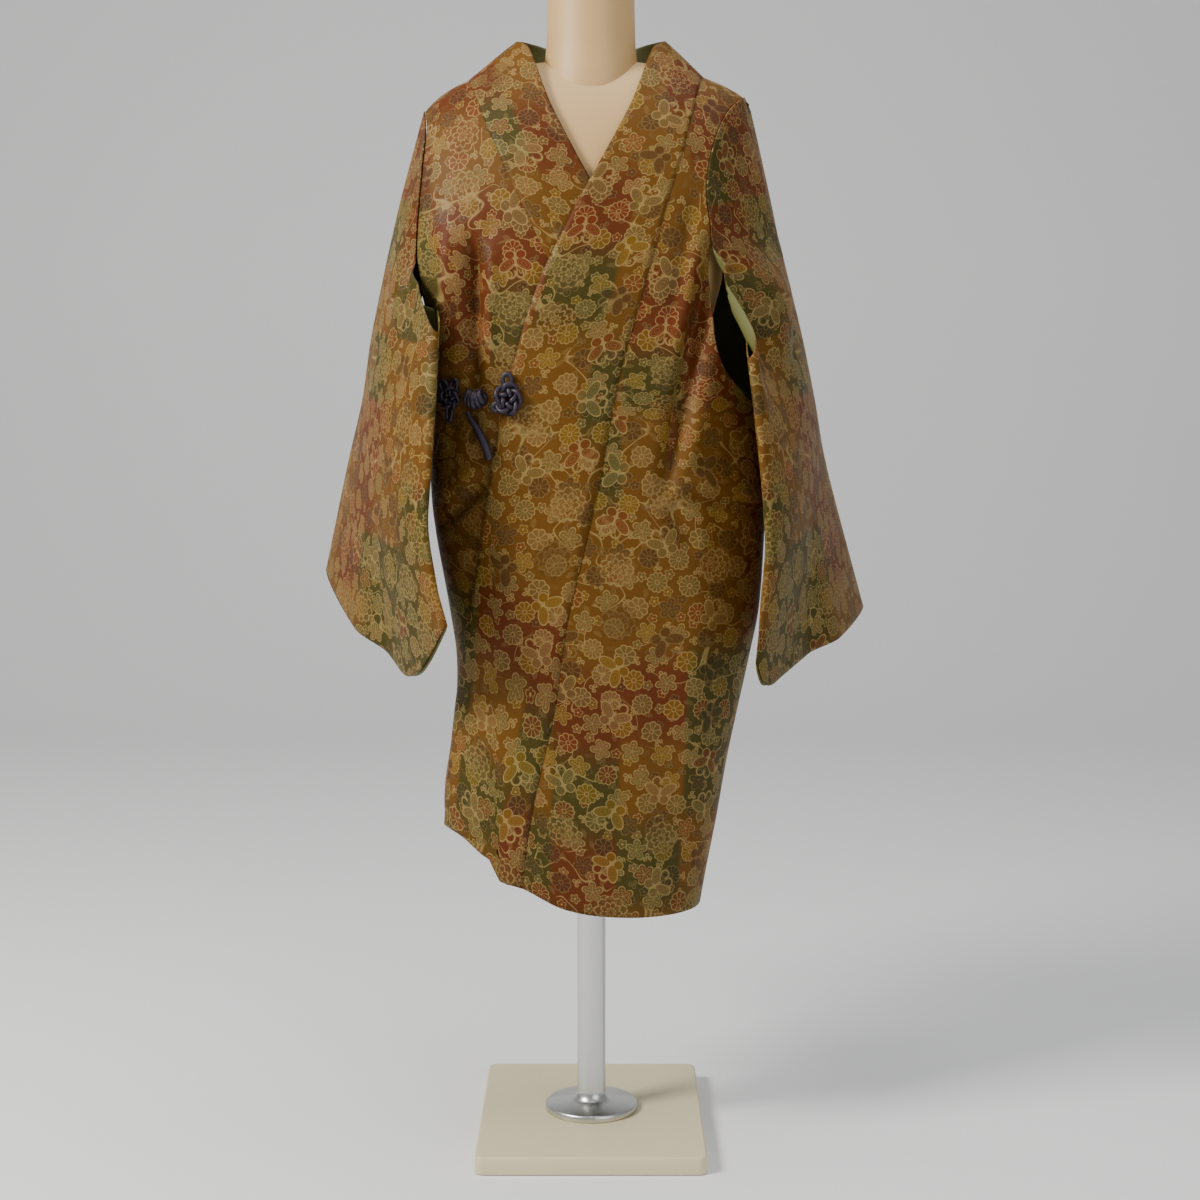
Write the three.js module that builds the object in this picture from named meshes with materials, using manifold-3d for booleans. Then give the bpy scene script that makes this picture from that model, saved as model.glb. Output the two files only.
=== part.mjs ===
// A wrap-over kimono coat on a limbless dress form. Units are millimetres and +Z is up.
// The front faces -Y and +X is the wearer's left. The origin is the middle of the underside of the base plate.
import * as THREE from "three";
import { mergeVertices } from "three/addons/utils/BufferGeometryUtils.js";
import Module from "manifold-3d";

const wasm = await Module();
wasm.setup();

// Driving sizes
const CLOTH = 2; // thickness of the lined silk
const SEAM_GAP = 0.3;
const LAYER_STEP = 3.5; // how far the outer front lies over the inner one
const HIDDEN_REACH = 104; // how far round the inner front's collar band reaches behind the outer front
const HIDDEN_STEP = 9; // how much further back the inner front lies where the outer one hides it
const BAND_RISE = 0.6; // the collar band is doubled, so it stands a little proud
const EDGE_LIFT = 2; // the outer front's free edge stands this much further off
const SEAM_TURN = 0.004; // the seam gap beside the collar band and down the back, as an angle
const ARMHOLE_TURN = { top: 0.016, foot: 0.014 }; // the same round the armhole
const ARCH_FOOT = 935; // height where the upright body starts to curve over the shoulder
const SHOULDER_BACK = 6; // how far behind the middle the shoulder line runs
const ROUNDNESS = 2.5; // exponent of the body's oval section
const BACK_HEM = 265;
const SIDE_HEM = 369; // the wrap draws the hem up at the wearer's right side
const INNER_HEM_RISE = 12; // the inner front ends this far above the outer one
const NECK_TOP = 1300;
const PLATE = { width: 248, depth: 300, thick: 20, corner: 10 };
const POLE = { radius: 16, flangeRadius: 52, flangeThick: 8 };
const CORD_RADIUS = 3.1;
const LOOP_WIDTH = 7;

const RIGHT = -1; // the wearer's right is at -X
const LEFT = 1;
const FRONT = -1;
const BACK = 1;

// The body's oval sections, from the hem up: half widths to each side and depths before and behind
const SECTIONS = [
  { height: 255, right: 146, left: 121, front: 94, back: 94 },
  { height: 374, right: 164, left: 141, front: 98, back: 98 },
  { height: 484, right: 150, left: 163, front: 101, back: 101 },
  { height: 540, right: 149, left: 175, front: 103, back: 102 },
  { height: 594, right: 157, left: 185, front: 104, back: 103 },
  { height: 700, right: 174, left: 191, front: 106, back: 104 },
  { height: 795, right: 178, left: 190, front: 108, back: 104 },
  { height: 850, right: 184, left: 192, front: 109, back: 104 },
  { height: 935, right: 205, left: 205, front: 110, back: 104 },
];

// The shoulder line: its height over each distance from the middle
const SHOULDER = [
  { across: 0, height: 1190 },
  { across: 78, height: 1180 },
  { across: 118, height: 1167 },
  { across: 150, height: 1154 },
  { across: 172, height: 1138 },
  { across: 187, height: 1116 },
  { across: 205, height: 1060 },
];

// The collar band's seam and its free edge on each front, as distances towards the side of that front's own collar
const BAND = {
  [LEFT]: [
    { height: 262, seam: -74, edge: -158 },
    { height: 322, seam: -71, edge: -158 },
    { height: 398, seam: -59, edge: -153 },
    { height: 494, seam: -38, edge: -142 },
    { height: 579, seam: -26, edge: -129 },
    { height: 650, seam: -10, edge: -118 },
    { height: 733, seam: 9, edge: -106 },
    { height: 839, seam: 29, edge: -84 },
    { height: 937, seam: 56, edge: -55 },
    { height: 1000, seam: 74, edge: -22 },
    { height: 1047, seam: 88, edge: 5 },
    { height: 1075, seam: 97, edge: 21 },
    { height: 1114, seam: 106, edge: 42 },
    { height: 1160, seam: 118, edge: 66 },
    { height: 1167, seam: 121, edge: 80 },
  ],
  [RIGHT]: [
    { height: 262, seam: -90, edge: -158 },
    { height: 650, seam: -26, edge: -118 },
    { height: 733, seam: -10, edge: -106 },
    { height: 839, seam: 8, edge: -84 },
    { height: 937, seam: 33, edge: -55 },
    { height: 1000, seam: 63, edge: -22 },
    { height: 1047, seam: 86, edge: 5 },
    { height: 1075, seam: 98, edge: 21 },
    { height: 1114, seam: 113, edge: 42 },
    { height: 1160, seam: 129, edge: 66 },
    { height: 1167, seam: 132, edge: 80 },
  ],
};

// The outer front's hem, which rises towards its free corner
const HEM = [
  { across: -158, height: 357 },
  { across: -137, height: 349 },
  { across: -118, height: 333 },
  { across: -103, height: 321 },
  { across: -99, height: 305 },
  { across: -73, height: 297 },
  { across: -29, height: 275 },
  { across: 29, height: 265 },
  { across: 113, height: 264 },
  { across: 140, height: 265 },
];

// Where each front ends at the side, as degrees round the oval from the middle of the front
const FRONT_SIDE = {
  [RIGHT]: [
    { height: 845, angle: 90 },
    { height: 862, angle: 72 },
    { height: 888, angle: 60 },
    { height: 930, angle: 58 },
    { height: 975, angle: 61 },
    { height: 1058, angle: 57 },
    { height: 1100, angle: 55 },
    { height: 1128, angle: 57.5 },
  ],
  [LEFT]: [
    { height: 796, angle: 90 },
    { height: 818, angle: 62 },
    { height: 860, angle: 40 },
    { height: 920, angle: 34 },
    { height: 976, angle: 33 },
    { height: 1030, angle: 31 },
    { height: 1090, angle: 38 },
    { height: 1138, angle: 52.5 },
  ],
};
// The same for the back, as degrees from the middle of the back
const BACK_SIDE = {
  [RIGHT]: [
    { height: 845, angle: 90 },
    { height: 880, angle: 74 },
    { height: 930, angle: 64 },
    { height: 975, angle: 63 },
    { height: 1058, angle: 60 },
    { height: 1128, angle: 57.5 },
  ],
  [LEFT]: [
    { height: 796, angle: 90 },
    { height: 850, angle: 76 },
    { height: 920, angle: 64 },
    { height: 975, angle: 63 },
    { height: 1058, angle: 58 },
    { height: 1138, angle: 52.5 },
  ],
};
const ARMHOLE_FOOT = { [RIGHT]: 972, [LEFT]: 976 };

// The largest folds, as troughs (+) or ridges (-) from one place to another, with the side they lie on
const FOLDS = [
  { face: FRONT, x1: -122, z1: 985, x2: -131, z2: 832, deep: 9, wide: 10 },
  { face: FRONT, x1: -150, z1: 1000, x2: -156, z2: 880, deep: -6, wide: 12 },
  { face: FRONT, x1: -112, z1: 733, x2: -160, z2: 690, deep: 5, wide: 9 },
  { face: FRONT, x1: 128, z1: 968, x2: 76, z2: 722, deep: 9, wide: 11 },
  { face: FRONT, x1: 142, z1: 930, x2: 98, z2: 735, deep: -6, wide: 12 },
  { face: FRONT, x1: 80, z1: 708, x2: 112, z2: 664, deep: 6, wide: 9 },
  { face: FRONT, x1: 100, z1: 722, x2: 184, z2: 700, deep: 5, wide: 8 },
  { face: FRONT, x1: 110, z1: 1030, x2: 86, z2: 900, deep: 4, wide: 10 },
  { face: FRONT, x1: 60, z1: 620, x2: 92, z2: 330, deep: 3, wide: 22 },
  { face: FRONT, x1: 120, z1: 640, x2: 112, z2: 300, deep: -3, wide: 20 },
  { face: BACK, x1: -150, z1: 960, x2: -96, z2: 700, deep: 8, wide: 13 },
  { face: BACK, x1: 150, z1: 960, x2: 104, z2: 720, deep: 8, wide: 13 },
  { face: BACK, x1: -120, z1: 700, x2: -90, z2: 330, deep: 4, wide: 24 },
  { face: BACK, x1: 118, z1: 690, x2: 84, z2: 320, deep: 4, wide: 24 },
  { face: BACK, x1: 60, z1: 1060, x2: 128, z2: 1010, deep: 4, wide: 12 },
  { face: BACK, x1: -60, z1: 1064, x2: -130, z2: 1000, deep: 4, wide: 12 },
];

// The sleeves: the outer fold from the armhole to the cuff, and the seam at the front edge beside it
const SLEEVE_ROWS = {
  [RIGHT]: [
    { along: 0, foldX: -184, foldY: 8, foldZ: 1112, seamX: -158, seamY: -128, seamZ: 888 },
    { along: 0.22, foldX: -213, foldY: 34, foldZ: 1016, seamX: -161, seamY: -140, seamZ: 812 },
    { along: 0.46, foldX: -243, foldY: 74, foldZ: 897, seamX: -166, seamY: -150, seamZ: 734 },
    { along: 0.62, foldX: -258, foldY: 104, foldZ: 825, seamX: -168, seamY: -156, seamZ: 686 },
    { along: 0.78, foldX: -280, foldY: 132, foldZ: 750, seamX: -160, seamY: -160, seamZ: 638 },
    { along: 1, foldX: -313, foldY: 166, foldZ: 621, seamX: -147, seamY: -168, seamZ: 590 },
  ],
  [LEFT]: [
    { along: 0, foldX: 173, foldY: 8, foldZ: 1126, seamX: 164, seamY: -128, seamZ: 862 },
    { along: 0.22, foldX: 202, foldY: 34, foldZ: 1016, seamX: 172, seamY: -140, seamZ: 790 },
    { along: 0.46, foldX: 230, foldY: 74, foldZ: 905, seamX: 179, seamY: -150, seamZ: 716 },
    { along: 0.62, foldX: 250, foldY: 104, foldZ: 827, seamX: 181, seamY: -156, seamZ: 664 },
    { along: 0.78, foldX: 269, foldY: 132, foldZ: 747, seamX: 176, seamY: -160, seamZ: 612 },
    { along: 1, foldX: 320, foldY: 166, foldZ: 576, seamX: 170, seamY: -166, seamZ: 552 },
  ],
};
// How far the cuff edge hangs below a straight line from fold to seam, with the rounded lower corner near its end
const CUFF_SAG = {
  [RIGHT]: [
    { across: 0, drop: 0 },
    { across: 0.35, drop: 38 },
    { across: 0.6, drop: 64 },
    { across: 0.7, drop: 74 },
    { across: 0.78, drop: 67 },
    { across: 0.86, drop: 47 },
    { across: 1, drop: 0 },
  ],
  [LEFT]: [
    { across: 0, drop: 0 },
    { across: 0.45, drop: 16 },
    { across: 0.8, drop: 28 },
    { across: 0.9, drop: 31 },
    { across: 0.95, drop: 24 },
    { across: 1, drop: 0 },
  ],
};
const SLEEVE_FULLNESS = { out: 20, in: 8 };
const SLEEVE_CLEAR = { out: 22, in: 3 }; // how far each layer stays from the body's side
const CLEAR_FADE = { from: 60, to: -20 }; // heights below the armhole's foot where that clearance comes in
const FLANK = 187; // how far out the panels reach beside the armholes
const CUFF_OPEN_SHARE = 0.47; // share of the cuff edge that is left open, next to the fold

const Vec = THREE.Vector3;
const smooth = (a, b, value) => THREE.MathUtils.smoothstep(value, Math.min(a, b), Math.max(a, b));
const mix = THREE.MathUtils.lerp;

// A smooth value between the rows of a table: a cubic through the four nearest rows
function between(rows, key, at, name) {
  const last = rows.length - 1;
  if (at <= rows[0][key]) return rows[0][name];
  if (at >= rows[last][key]) return rows[last][name];
  const i = rows.findIndex((row) => row[key] > at) - 1;
  const span = rows[i + 1][key] - rows[i][key];
  const t = (at - rows[i][key]) / span;
  const slope = (k) => {
    const low = rows[Math.max(0, k - 1)];
    const high = rows[Math.min(last, k + 1)];
    return ((high[name] - low[name]) / (high[key] - low[key])) * span;
  };
  const a = rows[i][name];
  const b = rows[i + 1][name];
  const h = t * t * (3 - 2 * t);
  return mix(a, b, h) + slope(i) * t * (1 - t) ** 2 - slope(i + 1) * t * t * (1 - t);
}

// The body's surface

// A place on the oval: angle is measured from the middle of the face, towards the side
function oval(height, face, angle) {
  const side = angle < 0 ? "right" : "left";
  const width = between(SECTIONS, "height", height, side);
  const depth = between(SECTIONS, "height", height, face === FRONT ? "front" : "back");
  const power = 2 / ROUNDNESS;
  const sine = Math.abs(Math.sin(angle));
  const cosine = Math.max(0, Math.cos(angle));
  return { x: Math.sign(angle) * width * sine ** power, y: face * depth * cosine ** power };
}

function angleAt(height, x) {
  const width = between(SECTIONS, "height", Math.min(height, ARCH_FOOT), x < 0 ? "right" : "left");
  const share = Math.min(1, Math.abs(x) / width);
  return Math.sign(x) * Math.asin(share ** (ROUNDNESS / 2));
}

// The body's surface at a height on one face: upright below the arch foot, over the shoulder above it.
// rise runs from 0 at the arch foot to 1 on the shoulder line.
function archPoint(face, angle, rise) {
  const foot = oval(ARCH_FOOT, face, angle);
  const turn = (rise * Math.PI) / 2;
  const ridge = between(SHOULDER, "across", Math.abs(foot.x), "height");
  const lean = SHOULDER_BACK * Math.sin(turn);
  return new Vec(foot.x, foot.y * Math.cos(turn) + lean, mix(ARCH_FOOT, ridge, Math.sin(turn)));
}

function bodyPoint(face, angle, height) {
  if (height <= ARCH_FOOT) {
    const place = oval(height, face, angle);
    return new Vec(place.x, place.y, height);
  }
  const foot = oval(ARCH_FOOT, face, angle);
  const ridge = between(SHOULDER, "across", Math.abs(foot.x), "height");
  const share = Math.min(1, (height - ARCH_FOOT) / (ridge - ARCH_FOOT));
  return archPoint(face, angle, (Math.asin(share) * 2) / Math.PI);
}

function outwardAt(face, angle, height) {
  const step = 0.02;
  const up = Math.min(height, ARCH_FOOT + 190);
  const a = bodyPoint(face, angle - step, up);
  const b = bodyPoint(face, angle + step, up);
  const c = bodyPoint(face, angle, up - 2);
  const d = bodyPoint(face, angle, up + 2);
  const normal = b.sub(a).cross(d.sub(c));
  return normal.multiplyScalar(face === FRONT ? 1 : -1).normalize();
}

// How deep the folds press in at a place on one face
function foldDepth(face, x, z) {
  let depth = 0;
  for (const fold of FOLDS) {
    if (fold.face !== face) continue;
    const dx = fold.x2 - fold.x1;
    const dz = fold.z2 - fold.z1;
    const length = dx * dx + dz * dz;
    const along = ((x - fold.x1) * dx + (z - fold.z1) * dz) / length;
    const off = ((x - fold.x1) * dz - (z - fold.z1) * dx) / Math.sqrt(length);
    const taper = smooth(-0.12, 0.2, along) * (1 - smooth(0.75, 1.12, along));
    depth += fold.deep * taper * Math.exp(-((off / fold.wide) ** 2));
  }
  return depth;
}

// The inner front lies smooth where the outer one hides it
const foldShare = (face, front, x) => (face === FRONT && front === RIGHT ? 1 - smooth(-20, 40, x) : 1);

// The outer front is lifted where it laps the inner one, and the inner one is pressed back
function layerShift(front, x) {
  if (front === LEFT) return LAYER_STEP * (1 - smooth(-20, 40, x)) + EDGE_LIFT * smooth(100, 145, -x);
  return -LAYER_STEP * smooth(-60, 0, x) - HIDDEN_STEP * smooth(0, 50, x);
}

// The point of a front or back panel, with folds, laps and an extra offset
function clothPoint(face, front, angle, height, extra = 0) {
  const place = bodyPoint(face, angle, height);
  const lap = face === FRONT ? layerShift(front, place.x) * (1 - smooth(1080, 1150, place.z)) : 0;
  const shift = lap + extra - foldDepth(face, place.x, place.z) * foldShare(face, front, place.x);
  return place.addScaledVector(outwardAt(face, angle, height), shift);
}

// Walls

// Turns a sheet of points and quads into a closed wall. The points are its outer face.
function wallOf(points, quads, thickness) {
  const normals = points.map(() => new Vec());
  for (const quad of quads) {
    const [a, b, c, d] = quad.map((k) => points[k]);
    const normal = new Vec().subVectors(c, a).cross(new Vec().subVectors(d, b));
    quad.forEach((k) => normals[k].add(normal));
  }
  const inner = points.map((p, k) => p.clone().addScaledVector(normals[k].normalize(), -thickness));
  const all = [...points, ...inner];
  const under = points.length;
  const faces = [];
  const edges = new Set();
  for (const [a, b, c, d] of quads) {
    faces.push(a, b, c, a, c, d);
    faces.push(under + a, under + c, under + b, under + a, under + d, under + c);
    [[a, b], [b, c], [c, d], [d, a]].forEach(([p, q]) => edges.add(p + "_" + q));
  }
  for (const edge of edges) {
    const [a, b] = edge.split("_").map(Number);
    if (edges.has(b + "_" + a)) continue;
    faces.push(b, a, under + a, b, under + a, under + b);
  }
  return geometryOf(all, faces);
}

function geometryOf(points, faces) {
  const geometry = new THREE.BufferGeometry();
  geometry.setAttribute("position", new THREE.Float32BufferAttribute(points.flatMap((p) => p.toArray()), 3));
  geometry.setIndex(faces);
  return geometry;
}

// A grid of points as a sheet: each row is a list of points, and turned rows wind the other way
function gridSheet(rows, { turned = false, ring = false } = {}) {
  const width = rows[0].length;
  const quads = [];
  for (let j = 0; j + 1 < rows.length; j += 1) {
    for (let i = 0; i < width - (ring ? 0 : 1); i += 1) {
      const next = (i + 1) % width;
      const quad = [j * width + i, j * width + next, (j + 1) * width + next, (j + 1) * width + i];
      quads.push(turned ? quad.reverse() : quad);
    }
  }
  return [rows.flat(), quads];
}

// A closed solid through rings of points, with flat ends
function solidThrough(rings) {
  const count = rings[0].length;
  const points = rings.flat();
  const faces = [];
  for (let j = 0; j + 1 < rings.length; j += 1) {
    for (let i = 0; i < count; i += 1) {
      const [a, b] = [j * count + i, j * count + ((i + 1) % count)];
      faces.push(a, b, b + count, a, b + count, a + count);
    }
  }
  for (const [start, upward] of [[0, false], [(rings.length - 1) * count, true]]) {
    const middle = points.length;
    points.push(rings[upward ? rings.length - 1 : 0].reduce((sum, p) => sum.add(p), new Vec()).divideScalar(count));
    for (let i = 0; i < count; i += 1) {
      const [a, b] = [start + i, start + ((i + 1) % count)];
      faces.push(...(upward ? [a, b, middle] : [b, a, middle]));
    }
  }
  return geometryOf(points, faces);
}

// Joins closed solids into one
function joined(geometries) {
  const solids = geometries.map((geometry) => {
    geometry.deleteAttribute("normal");
    geometry.deleteAttribute("uv");
    const merged = mergeVertices(geometry, 1e-3);
    const triVerts = new Uint32Array(merged.index.array);
    return new wasm.Manifold(
      new wasm.Mesh({ numProp: 3, vertProperties: merged.attributes.position.array, triVerts }),
    );
  });
  const mesh = solids.reduce((whole, solid) => whole.add(solid)).getMesh();
  const geometry = new THREE.BufferGeometry();
  geometry.setAttribute("position", new THREE.BufferAttribute(mesh.vertProperties.slice(), 3));
  geometry.setIndex(new THREE.BufferAttribute(mesh.triVerts.slice(), 1));
  return geometry;
}

// The body panels, each one strip from the front hem over the shoulder to the back hem

const UPRIGHT_ROWS = 17;
const ARCH_ROWS = 10;
const NECK_ROW = 6; // arch row where the back of the neck opening crosses the middle
const PANEL_COLUMNS = 12;
const BAND_COLUMNS = 5;
const SEAM_RIDGE = 232; // rise of the shoulder line over the arch foot where the collar seam crosses it
const TIP_RIDGE = 193; // the same at the armhole

// The seam or free edge of a collar band on the front of one side, as an x value
function bandX(side, height, name) {
  const x = between(BAND[side], "height", height, name);
  return side === LEFT ? x : Math.min(-x, HIDDEN_REACH);
}

// The hems: the inner front ends a little above the outer one
const hemOuter = (x) => between(HEM, "across", x, "height");
const hemInner = (x) => mix(SIDE_HEM, hemOuter(x) + INNER_HEM_RISE, smooth(-158, -136, x));
const hemBack = (x) => mix(SIDE_HEM, BACK_HEM, smooth(-165, -75, x));
const frontHem = (side, x) => (side === LEFT ? hemOuter(x) : hemInner(x));

// Where a panel ends at the side, as an angle round the oval
function sideAngle(face, side, height) {
  const table = face === FRONT ? FRONT_SIDE : BACK_SIDE;
  const seam = Math.PI / 2 - SEAM_GAP / 200;
  return side * Math.min(seam, THREE.MathUtils.degToRad(between(table[side], "height", height, "angle")));
}

// A point of the upright part of a panel, a share of the way from its hem to the arch foot
function uprightPoint(face, side, share, angleFor, extra = 0) {
  let height = mix(BACK_HEM, ARCH_FOOT, share);
  for (let pass = 0; pass < 4; pass += 1) {
    const { x } = oval(height, face, angleFor(height));
    height = mix(face === BACK ? hemBack(x) : frontHem(side, x), ARCH_FOOT, share);
  }
  return clothPoint(face, side, angleFor(height), height, extra);
}

// The arched part of a panel, with its folds, laps and extra offset
function archCloth(face, front, angle, rise, extra = 0) {
  const place = archPoint(face, angle, rise);
  const ahead = archPoint(face, angle, Math.min(1, rise + 0.01));
  const before = archPoint(face, angle, rise - 0.01);
  const beside = archPoint(face, angle + 0.02, rise).sub(archPoint(face, angle - 0.02, rise));
  const normal = beside.cross(ahead.sub(before)).multiplyScalar(-face).normalize();
  const lap = face === FRONT ? layerShift(front, place.x) * (1 - smooth(1080, 1150, place.z)) : 0;
  const shift = lap + extra - foldDepth(face, place.x, place.z) * foldShare(face, front, place.x);
  return place.addScaledVector(normal, shift);
}

// Where the neck opening runs on the back, as a distance from the middle
function neckAcross(side, rise) {
  const low = NECK_ROW / ARCH_ROWS;
  const seam = between(BAND[side], "height", ARCH_FOOT + SEAM_RIDGE, "seam");
  return rise <= low ? 0 : seam * Math.sqrt((rise - low) / (1 - low));
}

// The inner edge of a panel in its arched part
function innerAngle(face, side, rise) {
  const level = ARCH_FOOT + Math.sin((rise * Math.PI) / 2) * SEAM_RIDGE;
  const x = face === FRONT ? bandX(side, level, "seam") : side * neckAcross(side, rise);
  return angleAt(ARCH_FOOT, x);
}

function bodyPanel(side) {
  const rows = [];
  const gap = (angle) => angle + side * SEAM_TURN;
  for (let j = 0; j <= UPRIGHT_ROWS; j += 1) {
    const row = [];
    for (let i = 0; i <= PANEL_COLUMNS; i += 1) {
      const angleFor = (height) =>
        mix(gap(angleAt(height, bandX(side, height, "seam"))), sideAngle(FRONT, side, height), i / PANEL_COLUMNS);
      row.push(uprightPoint(FRONT, side, j / UPRIGHT_ROWS, angleFor));
    }
    rows.push(row);
  }
  for (let j = 1; j < 2 * ARCH_ROWS; j += 1) {
    const face = j <= ARCH_ROWS ? FRONT : BACK;
    const rise = face === FRONT ? j / ARCH_ROWS : 2 - j / ARCH_ROWS;
    const outer = sideAngle(face, side, ARCH_FOOT + Math.sin((rise * Math.PI) / 2) * TIP_RIDGE);
    const inner = gap(innerAngle(face, side, rise));
    const row = [];
    for (let i = 0; i <= PANEL_COLUMNS; i += 1) {
      row.push(archCloth(face, side, mix(inner, outer, i / PANEL_COLUMNS), rise));
    }
    rows.push(row);
  }
  for (let j = 0; j <= UPRIGHT_ROWS; j += 1) {
    const row = [];
    for (let i = 0; i <= PANEL_COLUMNS; i += 1) {
      const angleFor = (height) => mix(gap(0), sideAngle(BACK, side, height), i / PANEL_COLUMNS);
      row.push(uprightPoint(BACK, side, 1 - j / UPRIGHT_ROWS, angleFor));
    }
    rows.push(row);
  }
  return wallOf(...gridSheet(rows, { turned: side === RIGHT }), CLOTH);
}

// The collar band, one strip from the outer front's hem round the neck to the inner front's hem

// The free edge of the band behind the neck, from one shoulder to the middle
const NECK_EDGE = [
  { row: 6, x: 0, y: 97, z: 1204 },
  { row: 7, x: 38, y: 89, z: 1207 },
  { row: 8, x: 63, y: 66, z: 1211 },
  { row: 9, x: 75, y: 35, z: 1209 },
];
const SHOULDER_LIFT = 24; // how far the band's edge stands off the shoulder

function collarHalf(side) {
  const rows = [];
  for (let j = 0; j <= UPRIGHT_ROWS; j += 1) {
    const row = [];
    for (let i = 0; i <= BAND_COLUMNS; i += 1) {
      const angleFor = (height) =>
        mix(
          angleAt(height, bandX(side, height, "seam")),
          angleAt(height, bandX(side, height, "edge")),
          i / BAND_COLUMNS,
        );
      row.push(uprightPoint(FRONT, side, j / UPRIGHT_ROWS, angleFor, BAND_RISE));
    }
    rows.push(row);
  }
  for (let j = 1; j <= ARCH_ROWS; j += 1) {
    const rise = j / ARCH_ROWS;
    const level = ARCH_FOOT + Math.sin((rise * Math.PI) / 2) * SEAM_RIDGE;
    const row = [];
    for (let i = 0; i <= BAND_COLUMNS; i += 1) {
      const share = i / BAND_COLUMNS;
      const x = mix(bandX(side, level, "seam"), bandX(side, level, "edge"), share);
      const place = archCloth(FRONT, side, angleAt(ARCH_FOOT, x), rise, BAND_RISE);
      place.z += SHOULDER_LIFT * smooth(0.5, 1, rise) * share;
      row.push(place);
    }
    rows.push(row);
  }
  for (let j = ARCH_ROWS - 1; j >= NECK_ROW; j -= 1) {
    const rise = j / ARCH_ROWS;
    const seam = archCloth(BACK, side, innerAngle(BACK, side, rise), rise, BAND_RISE);
    const edge = NECK_EDGE.find((place) => place.row === j);
    const end = new Vec(side * edge.x, edge.y, edge.z);
    const row = [];
    for (let i = 0; i <= BAND_COLUMNS; i += 1) {
      row.push(seam.clone().lerp(end, i / BAND_COLUMNS));
    }
    rows.push(row);
  }
  return rows;
}

function collarBand() {
  const leftRows = collarHalf(LEFT);
  const rightRows = collarHalf(RIGHT).reverse().slice(1);
  return wallOf(...gridSheet([...leftRows, ...rightRows], { turned: true }), CLOTH);
}

// The sleeves, each a flat bag: a front layer and a back layer joined along the outer fold and the front seam

const SLEEVE_ALONG = 16;
const SLEEVE_ACROSS = 10;
const SEWN_SHARE = 0.5; // share of the bag's inner edge that is sewn to the armhole

// The armhole edge of a panel, from the top of the armhole down, with the seam gap
function armholePoint(side, face, share) {
  const foot = ARMHOLE_FOOT[side];
  const top = ARCH_FOOT + TIP_RIDGE;
  const level = mix(top, foot, share);
  const rise = (Math.asin((level - ARCH_FOOT) / TIP_RIDGE) * 2) / Math.PI;
  const gap = mix(ARMHOLE_TURN.top, ARMHOLE_TURN.foot, share);
  return archCloth(face, side, sideAngle(face, side, level) + side * gap, rise, SEAM_GAP);
}

function sleeveRow(side, along) {
  const at = (name) => between(SLEEVE_ROWS[side], "along", along, name);
  return { fold: new Vec(at("foldX"), at("foldY"), at("foldZ")), seam: new Vec(at("seamX"), at("seamY"), at("seamZ")) };
}

function sleevePoint(side, face, along, across) {
  const { fold, seam } = sleeveRow(side, along);
  const near = sleeveRow(side, Math.max(0, along - 0.05));
  const far = sleeveRow(side, Math.min(1, along + 0.05));
  const down = far.fold.sub(near.fold).add(far.seam.sub(near.seam)).normalize();
  const inward = seam.clone().sub(fold).normalize();
  const out = inward.clone().cross(down).multiplyScalar(side).normalize();
  const place = fold.clone().lerp(seam, across);
  place.z -= between(CUFF_SAG[side], "across", across, "drop") * smooth(0.6, 1, along);
  const closed = smooth(0.72, 1, along) * smooth(CUFF_OPEN_SHARE - 0.06, CUFF_OPEN_SHARE + 0.1, across);
  const fullness = face === FRONT ? SLEEVE_FULLNESS.out : SLEEVE_FULLNESS.in;
  const bulge = Math.sin(Math.PI * across) ** 0.6 * mix(fullness, 2.2, closed);
  place.addScaledVector(out, face === FRONT ? bulge : -bulge);
  if (across < SEWN_SHARE) {
    const edge = armholePoint(side, face, across / SEWN_SHARE);
    const free = sleevePointAtArmhole(side, face, across, out);
    place.add(edge.sub(free).multiplyScalar(1 - smooth(0, 0.5, along)));
  } else {
    const edge = armholePoint(side, face, 1);
    const free = sleevePointAtArmhole(side, face, SEWN_SHARE, out);
    const fade = 1 - smooth(SEWN_SHARE, 1, across);
    place.add(edge.sub(free).multiplyScalar((1 - smooth(0, 0.5, along)) * fade));
  }
  return clearOfBody(side, face, place, Math.max(smooth(0, 0.2, along), smooth(SEWN_SHARE, 0.6, across)));
}

// Pushes a sleeve point out to the side until it is clear of the body
function clearOfBody(side, face, place, share) {
  const height = Math.min(place.z, ARCH_FOOT);
  const half = Math.min(FLANK, between(SECTIONS, "height", height, side === LEFT ? "left" : "right"));
  const depth = between(SECTIONS, "height", height, place.y < 0 ? "front" : "back") + 8;
  const reach = Math.max(0, 1 - (Math.abs(place.y) / depth) ** ROUNDNESS) ** (1 / ROUNDNESS);
  const clear = (half + 8) * reach + (face === FRONT ? SLEEVE_CLEAR.out : SLEEVE_CLEAR.in);
  const short = Math.max(0, clear - Math.abs(place.x)) * (reach > 0 ? 1 : 0);
  const foot = ARMHOLE_FOOT[side];
  const below = 1 - smooth(foot - CLEAR_FADE.from, foot - CLEAR_FADE.to, place.z);
  place.x += side * short * share * below;
  return place;
}

// The bag's own edge beside the armhole, before it is drawn to the armhole
function sleevePointAtArmhole(side, face, across, out) {
  const { fold, seam } = sleeveRow(side, 0);
  const fullness = face === FRONT ? SLEEVE_FULLNESS.out : -SLEEVE_FULLNESS.in;
  return fold.lerp(seam, across).addScaledVector(out, fullness * Math.sin(Math.PI * across) ** 0.6);
}

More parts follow.
